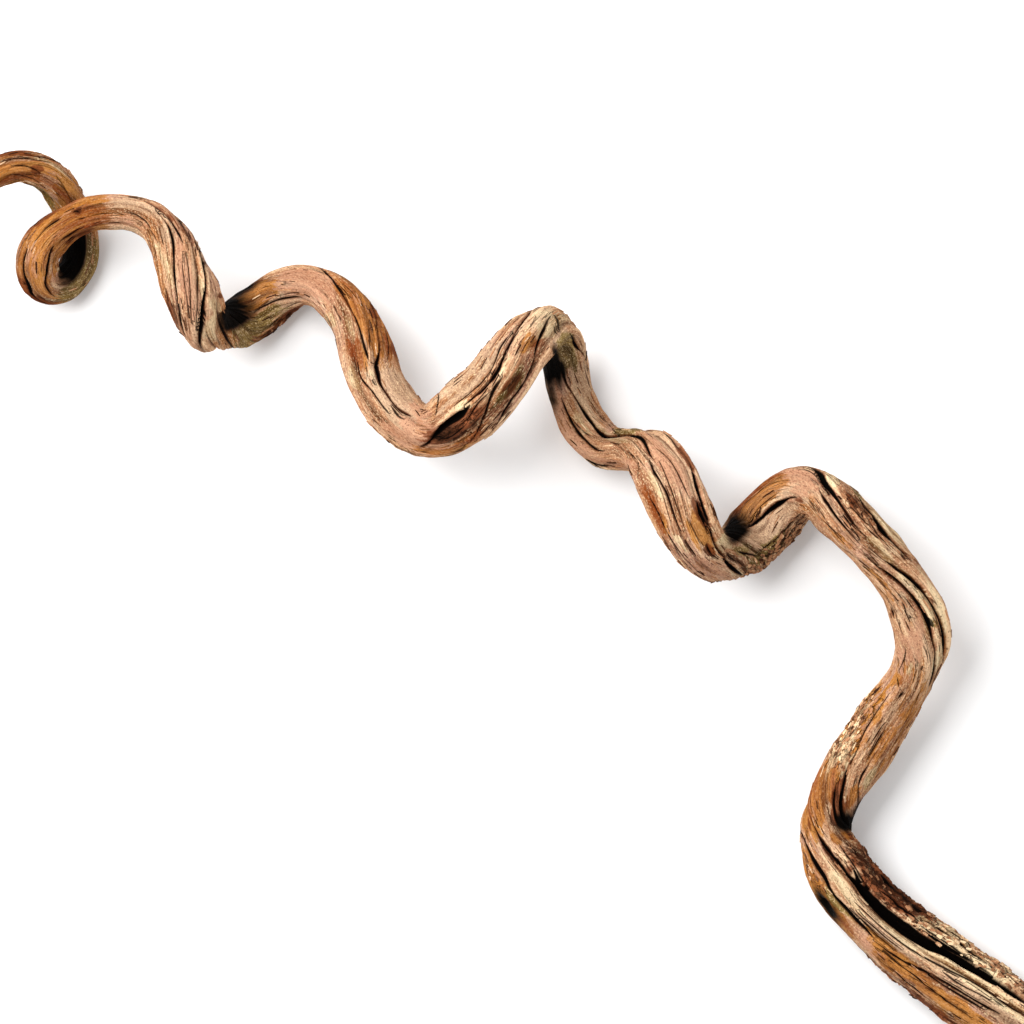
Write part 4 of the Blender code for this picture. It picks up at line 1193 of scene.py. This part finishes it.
def fissures(tree, patterns):
    """Painted shade of the cut fissures: dark inside, a brown rim at the lips that is stronger beside
    deeper ones, with a ragged edge.
    """
    line = put(tree, "ShaderNodeAttribute", attribute_name="fissure_line")
    parts = put(tree, "ShaderNodeSeparateXYZ", {0: line.outputs["Vector"]})
    ragged = maths(tree, "SUBTRACT", patterns["mottle"], 0.5)
    beyond = maths(tree, "SUBTRACT", maths(tree, "ABSOLUTE", parts.outputs[0]), parts.outputs[1])
    beyond = maths(tree, "MULTIPLY_ADD", ragged, 0.55, beyond)
    depth_share = smooth_step(tree, line.outputs["Alpha"], 0.0, 1.3)
    inside = maths(tree, "MULTIPLY", smooth_step(tree, beyond, 0.16, -0.16), parts.outputs[2])
    rim = maths(tree, "MULTIPLY", smooth_step(tree, beyond, 1.0, 0.05), parts.outputs[2])
    return inside, maths(tree, "MULTIPLY", rim, depth_share), depth_share


# %% [markdown]
# ## The saw cuts
#
# The picture cuts the stem off at both ends, so nothing shows how the wood looks inside. A saw
# cut of dry wood is the plainest guess. Its growth rings are noise over the distance from the
# heart alone, so they close on themselves and follow the lobes of the rim.

# %% Rings, rays and pith
SAWN_DARK = srgb(138, 96, 60)
SAWN_LIGHT = srgb(216, 178, 128)
PITH = srgb(70, 40, 22)
CUT_BARK = srgb(78, 46, 28)


def saw_cut(tree):
    """Growth rings, rays and pith on the flat ends, and where they are."""
    parts = put(tree, "ShaderNodeSeparateXYZ", {0: named_value(tree, "sawn")})
    across = put(tree, "ShaderNodeCombineXYZ", {0: parts.outputs[0], 1: parts.outputs[1]})
    across = across.outputs[0]
    from_heart = put(tree, "ShaderNodeVectorMath", {0: across}, operation="LENGTH").outputs["Value"]
    ring = maths(tree, "MULTIPLY_ADD", noise(tree, across, 2.2, 2.0), 0.22, from_heart)
    ring_inputs = {"W": ring, "Scale": 17.0, "Detail": 3.0}
    ring = put(tree, "ShaderNodeTexNoise", ring_inputs, noise_dimensions="1D").outputs[0]
    way = put(tree, "ShaderNodeVectorMath", {0: across}, operation="NORMALIZE").outputs[0]
    rays = noise(tree, way, 16.0, 2.0)
    grit = noise(tree, across, 34.0, 2.0)
    tone = maths(tree, "MULTIPLY_ADD", rays, 0.5, maths(tree, "MULTIPLY", grit, 0.5))
    tone = maths(tree, "MULTIPLY_ADD", ring, 1.1, tone)
    colour = mix(tree, smooth_step(tree, tone, 0.8, 1.3), SAWN_DARK, SAWN_LIGHT)
    colour = mix(tree, smooth_step(tree, from_heart, 0.1, 0.06), colour, PITH)
    colour = mix(tree, smooth_step(tree, from_heart, 0.9, 0.95), colour, CUT_BARK)
    return colour, smooth_step(tree, parts.outputs[2], 0.5, 0.9)


# %% The material
def bark_material():
    """Weathered wood and bark, with painted light and shade, from the skin's own attributes."""
    material = bpy.data.materials.new("weathered_bark_and_painted_shade")
    material.use_nodes = True
    tree = material.node_tree
    shader = tree.nodes["Principled BSDF"]
    patterns = bark_patterns(tree)
    cover = stain_and_shade_shares(tree, patterns)
    colour = stained_wood(tree, patterns, cover)

    crooked = crust_cracks(tree, patterns, cover)
    hairlines = hairline_cracks(tree, patterns, cover)
    inside, rim, depth_share = fissures(tree, patterns)
    thin = maths(tree, "MULTIPLY", maths(tree, "MAXIMUM", hairlines, crooked), 0.85)
    colour = mix(tree, thin, colour, CRACK_COLOUR)
    # Painted shade of the fissures: brown at their lips, near black inside, darker where they are deeper
    colour = mix(tree, maths(tree, "MULTIPLY", rim, 0.5), colour, LIP_SHADE_COLOUR)
    fissure_shade = maths(tree, "MULTIPLY", inside, maths(tree, "MULTIPLY_ADD", depth_share, 0.2, 0.8))
    colour = mix(tree, fissure_shade, colour, FISSURE_SHADE_COLOUR)
    # Painted shade, near black, in the crooks where one turn shades the next
    colour = mix(tree, cover["painted_shade"], colour, mix(tree, patterns["mottle"], *STAIN_AND_SHADE_COLOURS["painted_shade"]))
    cut_colour, on_cut = saw_cut(tree)
    colour = mix(tree, on_cut, colour, cut_colour)

    relief = maths(tree, "MULTIPLY", patterns["fibres"], 0.5)
    relief = maths(tree, "MULTIPLY_ADD", patterns["streaks"], 1.2, relief)
    relief = maths(tree, "MULTIPLY_ADD", patterns["mottle"], 0.8, relief)
    relief = maths(tree, "MULTIPLY_ADD", patterns["grit"], 0.35, relief)
    relief = maths(tree, "MULTIPLY_ADD", thin, -0.6, relief)
    relief = maths(tree, "MULTIPLY_ADD", inside, -1.2, relief)
    relief = maths(tree, "MULTIPLY", relief, maths(tree, "MULTIPLY_ADD", on_cut, -0.9, 1.0))
    bump = put(tree, "ShaderNodeBump", {"Height": relief, "Strength": 1.0, "Distance": BARK_BUMP})
    rough = maths(tree, "MULTIPLY_ADD", patterns["mottle"], 0.3, 0.5)
    rough = maths(tree, "MULTIPLY_ADD", cover["crust"], 0.12, rough)
    rough = maths(tree, "MULTIPLY_ADD", inside, 0.2, rough, clamp=True)
    tree.links.new(colour, shader.inputs["Base Color"])
    tree.links.new(rough, shader.inputs["Roughness"])
    tree.links.new(bump.outputs[0], shader.inputs["Normal"])
    shader.inputs["Specular IOR Level"].default_value = BARK_SHINE
    return material


weathered_bark_and_painted_shade = bark_material()
bark.data.materials.append(weathered_bark_and_painted_shade)
print("weathered_bark_and_painted_shade has", len(weathered_bark_and_painted_shade.node_tree.nodes), "nodes")

# %% [markdown]
# ## Relief of the bark
#
# A bump in the finish fools the eye only from in front: at the edge of the stem it leaves a
# smooth outline. So ridges of fibre, lumps and crust that are wider than a millimetre or two
# are lifted in the mesh. Geometry Nodes do it, because the same noise as in the finish can then
# move every vertex along its normal, by heights that have names.

# %% A tree that lifts the skin
def new_tree(name, heights):
    """An empty geometry tree with a named float input for each height."""
    tree = bpy.data.node_groups.new(name, "GeometryNodeTree")
    tree.interface.new_socket("Geometry", in_out="INPUT", socket_type="NodeSocketGeometry")
    for height, value in heights.items():
        socket = tree.interface.new_socket(height, in_out="INPUT", socket_type="NodeSocketFloat")
        socket.default_value = value
    tree.interface.new_socket("Geometry", in_out="OUTPUT", socket_type="NodeSocketGeometry")
    return tree, tree.nodes.new("NodeGroupInput"), tree.nodes.new("NodeGroupOutput")


def named(tree, name):
    """Reads a named attribute in a geometry tree, as a vector."""
    node = put(tree, "GeometryNodeInputNamedAttribute", {"Name": name}, data_type="FLOAT_VECTOR")
    return node.outputs["Attribute"]


def part_of(tree, name, number):
    """One of the three numbers of a named attribute."""
    return put(tree, "ShaderNodeSeparateXYZ", {0: named(tree, name)}).outputs[number]


def stain_and_shade_share(tree, finish):
    """How much of a stain or of the painted shade was laid down at a place, in a geometry tree."""
    number = FINISHES.index(finish)
    return part_of(tree, ("stain_a", "stain_b")[number // 4], number % 4)


def finish_tree(tree, geometry, output, material):
    """Ends a tree in plain geometry with its finish."""
    plain = put(tree, "GeometryNodeRealizeInstances", {0: geometry})
    painted = put(tree, "GeometryNodeSetMaterial", {"Geometry": plain.outputs[0], "Material": material})
    tree.links.new(painted.outputs[0], output.inputs[0])


def run_tree(piece, tree, settings):
    """Runs a tree on a piece and gives what comes out as a plain mesh."""
    modifier = piece.modifiers.new(tree.name, "NODES")
    modifier.node_group = tree
    for socket in tree.interface.items_tree:
        if socket.name in settings:
            modifier[socket.identifier] = settings[socket.name]
    seen = bpy.context.evaluated_depsgraph_get()
    made = piece.evaluated_get(seen)
    mesh = bpy.data.meshes.new_from_object(made, preserve_all_data_layers=True, depsgraph=seen)
    piece.modifiers.remove(modifier)
    return mesh


def keep_in_box(mesh):
    """Moves any vertex that noise pushed out of the solid's box back onto its side."""
    flat = np.empty(3 * len(mesh.vertices), dtype=np.float32)
    mesh.vertices.foreach_get("co", flat)
    kept = np.clip(flat.reshape(-1, 3), np.array(cad_low), np.array(cad_high))
    mesh.vertices.foreach_set("co", kept.ravel())
    mesh.update()
    return float(np.abs(kept - flat.reshape(-1, 3)).max()) / MM


# %% Fibres, lumps and crust, lifted
RELIEF = {"Fibre height": 0.0024, "Lump height": 0.0034, "Crust height": 0.0036}  # metres


def relief_tree():
    """Moves the skin along its normals by noise along the grain, but not the saw cuts."""
    tree, given, output = new_tree("bark_relief", RELIEF)
    place = named(tree, "grain_place")
    fibres = along_grain(tree, place, (40, 330), 2.2, detail=2.0)
    lumps = along_grain(tree, place, (45, 80), 6.1, detail=1.0)
    crumbs = along_grain(tree, place, (260, 480), 8.3, detail=1.0)
    height = maths(tree, "MULTIPLY", maths(tree, "SUBTRACT", fibres, 0.5), given.outputs["Fibre height"])
    lift = maths(tree, "MULTIPLY", maths(tree, "SUBTRACT", lumps, 0.5), given.outputs["Lump height"])
    height = maths(tree, "ADD", height, lift)
    rough = maths(tree, "MULTIPLY", maths(tree, "SUBTRACT", crumbs, 0.5), given.outputs["Crust height"])
    height = maths(tree, "MULTIPLY_ADD", rough, stain_and_shade_share(tree, "crust"), height)
    height = maths(tree, "MULTIPLY", height, maths(tree, "SUBTRACT", 1.0, part_of(tree, "sawn", 2)))
    normal = tree.nodes.new("GeometryNodeInputNormal").outputs[0]
    out = put(tree, "ShaderNodeVectorMath", {0: normal, "Scale": height}, operation="SCALE")
    moved = put(tree, "GeometryNodeSetPosition", {"Geometry": given.outputs[0], "Offset": out.outputs[0]})
    finish_tree(tree, moved.outputs[0], output, weathered_bark_and_painted_shade)
    return tree


bark.data = run_tree(bark, relief_tree(), RELIEF)
print("the relief left the solid's box by at most", round(keep_in_box(bark.data), 2), "mm and was put back")

# %% [markdown]
# ## Loose flakes and fibres
#
# Where the bark is crusty, small plates of it stand off the wood and catch the light. Elsewhere
# fibres have split off. There are over three thousand of both, so they aren't placed by hand:
# points are strewn on the skin, and each carries one small plate, turned with the grain and
# then a little at random. A fibre is the same plate, long and narrow.

# %% One plate of bark
PLATE_SIDES = 7
PLATE_FOOT = -0.3  # how far it reaches down into the skin, as a share of its height
PLATE_RIM = 0.16
PLATE_SLOPE = 0.12
PLATE_TOP = 0.24


def plate_mesh():
    """An irregular plate one unit long, domed on top, sunk into the skin below."""
    shape = np.random.default_rng(4)
    round_angles = np.linspace(0, 2 * np.pi, PLATE_SIDES, endpoint=False)
    round_angles = round_angles + shape.uniform(-0.25, 0.25, PLATE_SIDES)
    reach = shape.uniform(0.36, 0.56, PLATE_SIDES)
    rim_x = np.cos(round_angles) * reach
    rim_y = np.sin(round_angles) * reach
    low = [(x, y, PLATE_FOOT) for x, y in zip(rim_x, rim_y)]
    high = [(0.86 * x, 0.86 * y, PLATE_RIM + PLATE_SLOPE * x) for x, y in zip(rim_x, rim_y)]
    plate_faces = []
    for side in range(PLATE_SIDES):
        after = (side + 1) % PLATE_SIDES
        plate_faces.append((side, after, PLATE_SIDES + after, PLATE_SIDES + side))
        plate_faces.append((PLATE_SIDES + side, PLATE_SIDES + after, 2 * PLATE_SIDES))
        plate_faces.append((after, side, 2 * PLATE_SIDES + 1))
    mesh = bpy.data.meshes.new("bark_plate")
    mesh.from_pydata([*low, *high, (0, 0, PLATE_TOP), (0, 0, PLATE_FOOT)], [], plate_faces)
    return mesh


plate = bpy.data.objects.new("bark_plate", plate_mesh())
print("a plate has", len(plate.data.polygons), "faces")


# %% [markdown]
# ## The finish of a loose piece
#
# One colour for all of them would look like confetti. The strewing gives each piece a tone of
# its own, and this finish turns the tone into a colour between dark bark and bleached wood.

# %% From tone to colour
PLATE_DARK = srgb(52, 27, 15)
PLATE_TAN = srgb(176, 124, 88)
PLATE_PALE = srgb(240, 208, 166)
PLATE_GRIT = 1400.0  # waves a metre
PLATE_BUMP = 0.0004  # metres


def plate_material():
    """Each plate has its own tone, from dark bark to a sun-bleached edge."""
    material = bpy.data.materials.new("loose_bark")
    material.use_nodes = True
    tree = material.node_tree
    shader = tree.nodes["Principled BSDF"]
    tone = put(tree, "ShaderNodeAttribute", attribute_name="plate_tone").outputs["Fac"]
    place = put(tree, "ShaderNodeTexCoord").outputs["Object"]
    grit = noise(tree, place, PLATE_GRIT, 2.0)
    tone = maths(tree, "MULTIPLY_ADD", maths(tree, "SUBTRACT", grit, 0.5), 0.7, tone)
    colour = mix(tree, smooth_step(tree, tone, 0.05, 0.6), PLATE_DARK, PLATE_TAN)
    colour = mix(tree, smooth_step(tree, tone, 0.62, 1.0), colour, PLATE_PALE)
    bump = put(tree, "ShaderNodeBump", {"Height": grit, "Strength": 0.8, "Distance": PLATE_BUMP})
    tree.links.new(colour, shader.inputs["Base Color"])
    tree.links.new(bump.outputs[0], shader.inputs["Normal"])
    shader.inputs["Roughness"].default_value = 0.8
    shader.inputs["Specular IOR Level"].default_value = BARK_SHINE
    return material


loose_bark = plate_material()
print("loose_bark has", len(loose_bark.node_tree.nodes), "nodes")

# %% [markdown]
# ## Strewing them
#
# Both kinds are strewn by one tree, with different numbers. Nothing is strewn over a fissure, in
# the crooks painted with shade or on a saw cut, for a pale piece would float there. Every random
# number has a seed of its own, so the pieces fall the same way each time.

# %% Where they lie and how they are turned
# Lengths in metres, widths as shares of the length, height as a share of the width, tilt in radians.
PLATES = {
    "Pieces a square metre": 260000.0, "Shortest": 0.001, "Longest": 0.0042,
    "Narrowest": 0.3, "Widest": 0.6, "Height": 0.75, "Tilt": 0.2,
}
FIBRES = {
    "Pieces a square metre": 62000.0, "Shortest": 0.003, "Longest": 0.009,
    "Narrowest": 0.07, "Widest": 0.12, "Height": 1.3, "Tilt": 0.05,
}
STREWING_SEED = 5


def random_value(tree, low, high, seed):
    """A random number for each point or instance."""
    node = put(tree, "FunctionNodeRandomValue", {2: low, 3: high, "Seed": seed}, data_type="FLOAT")
    return node.outputs[1]


def place_for_pieces(tree, on_crust):
    """1 where pieces lie, 0 where there are none."""
    if on_crust:
        where = smooth_step(tree, stain_and_shade_share(tree, "crust"), 0.35, 0.9)
    else:
        patches = along_grain(tree, named(tree, "grain_place"), (35, 90), 17.0, detail=2.0)
        where = smooth_step(tree, patches, 0.48, 0.62)
    line = put(tree, "ShaderNodeSeparateXYZ", {0: named(tree, "fissure_line")})
    beyond = maths(tree, "SUBTRACT", maths(tree, "ABSOLUTE", line.outputs[0]), line.outputs[1])
    no_fissure = maths(tree, "SUBTRACT", 1.0, line.outputs[2])
    clear = maths(tree, "MAXIMUM", smooth_step(tree, beyond, 0.2, 0.9), no_fissure)
    # none in the crooks painted with shade
    clear = maths(tree, "MULTIPLY", clear, smooth_step(tree, stain_and_shade_share(tree, "painted_shade"), 0.3, 0.0))
    clear = maths(tree, "MULTIPLY", clear, smooth_step(tree, part_of(tree, "sawn", 2), 0.2, 0.0))
    return maths(tree, "MULTIPLY", where, clear)


def turn_with_grain(tree, normal, tilt):
    """Lays a piece flat and along the grain, then tilts it and swings it round a little."""
    axes = {0: normal, 1: named(tree, "grain_way")}
    flat = put(tree, "FunctionNodeAxesToRotation", axes, primary_axis="Z", secondary_axis="X")
    back = maths(tree, "MULTIPLY", tilt, -1.0)
    swing = maths(tree, "MULTIPLY", tilt, 2.0)
    swing_back = maths(tree, "MULTIPLY", swing, -1.0)
    askew = put(tree, "ShaderNodeCombineXYZ", {
        0: random_value(tree, back, tilt, 1),
        1: random_value(tree, back, tilt, 2),
        2: random_value(tree, swing_back, swing, 3),
    })
    spin = put(tree, "FunctionNodeEulerToRotation", {0: askew.outputs[0]})
    both = {0: flat.outputs[0], 1: spin.outputs[0]}
    return put(tree, "FunctionNodeRotateRotation", both, rotation_space="LOCAL").outputs[0]


def piece_size(tree, given):
    """Length, width and height of a piece."""
    length = random_value(tree, given.outputs["Shortest"], given.outputs["Longest"], 6)
    slimness = random_value(tree, given.outputs["Narrowest"], given.outputs["Widest"], 7)
    width = maths(tree, "MULTIPLY", length, slimness)
    thickness = maths(tree, "MULTIPLY", width, given.outputs["Height"])
    return put(tree, "ShaderNodeCombineXYZ", {0: length, 1: width, 2: thickness}).outputs[0]


def piece_tone(tree):
    """Paler where the cream stain and its painted highlights lie, darker where it is umber."""
    tone = random_value(tree, -0.05, 0.85, 8)
    tone = maths(tree, "MULTIPLY_ADD", stain_and_shade_share(tree, "cream_and_highlight"), 0.25, tone)
    return maths(tree, "MULTIPLY_ADD", stain_and_shade_share(tree, "umber"), -0.4, tone)


# %% One tree for both kinds
def strewing_tree(name, settings, on_crust):
    """Points on the skin, a plate on each, with its turn, size and tone."""
    tree, given, output = new_tree(name, settings)
    where = place_for_pieces(tree, on_crust)
    wanted = maths(tree, "MULTIPLY", where, given.outputs["Pieces a square metre"])
    strewn = put(tree, "GeometryNodeDistributePointsOnFaces", {
        "Mesh": given.outputs[0],
        "Density": wanted,
        "Seed": STREWING_SEED,
    }, distribute_method="RANDOM")
    shape = put(tree, "GeometryNodeObjectInfo", {"Object": plate, "As Instance": True})
    laid = put(tree, "GeometryNodeInstanceOnPoints", {
        "Points": strewn.outputs[0],
        "Instance": shape.outputs["Geometry"],
        "Rotation": turn_with_grain(tree, strewn.outputs["Normal"], given.outputs["Tilt"]),
        "Scale": piece_size(tree, given),
    })
    toned = put(tree, "GeometryNodeStoreNamedAttribute", {
        "Geometry": laid.outputs[0],
        "Name": "plate_tone",
        "Value": piece_tone(tree),
    }, data_type="FLOAT", domain="INSTANCE")
    finish_tree(tree, toned.outputs[0], output, loose_bark)
    return tree


def strew(name, settings, on_crust):
    """Strews small pieces over the skin; gives them as one object."""
    mesh = run_tree(bark, strewing_tree(name, settings, on_crust), settings)
    keep_in_box(mesh)
    pieces = bpy.data.objects.new(name, mesh)
    bpy.context.scene.collection.objects.link(pieces)
    count = len(mesh.polygons) // (3 * PLATE_SIDES)
    print(name, count, "pieces,", 4 * PLATE_SIDES * count, "triangles")
    return pieces


loose_plates = strew("loose_bark_plates", PLATES, on_crust=True)
loose_fibres = strew("loose_fibres", FIBRES, on_crust=False)
bpy.data.objects.remove(plate)

# %% [markdown]
# ## Handing over
#
# The skin stands for the whole solid and rides on its only body.

# %% Finish
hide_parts("liana_stem")
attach(bark, "root")
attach(loose_plates, "root")
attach(loose_fibres, "root")
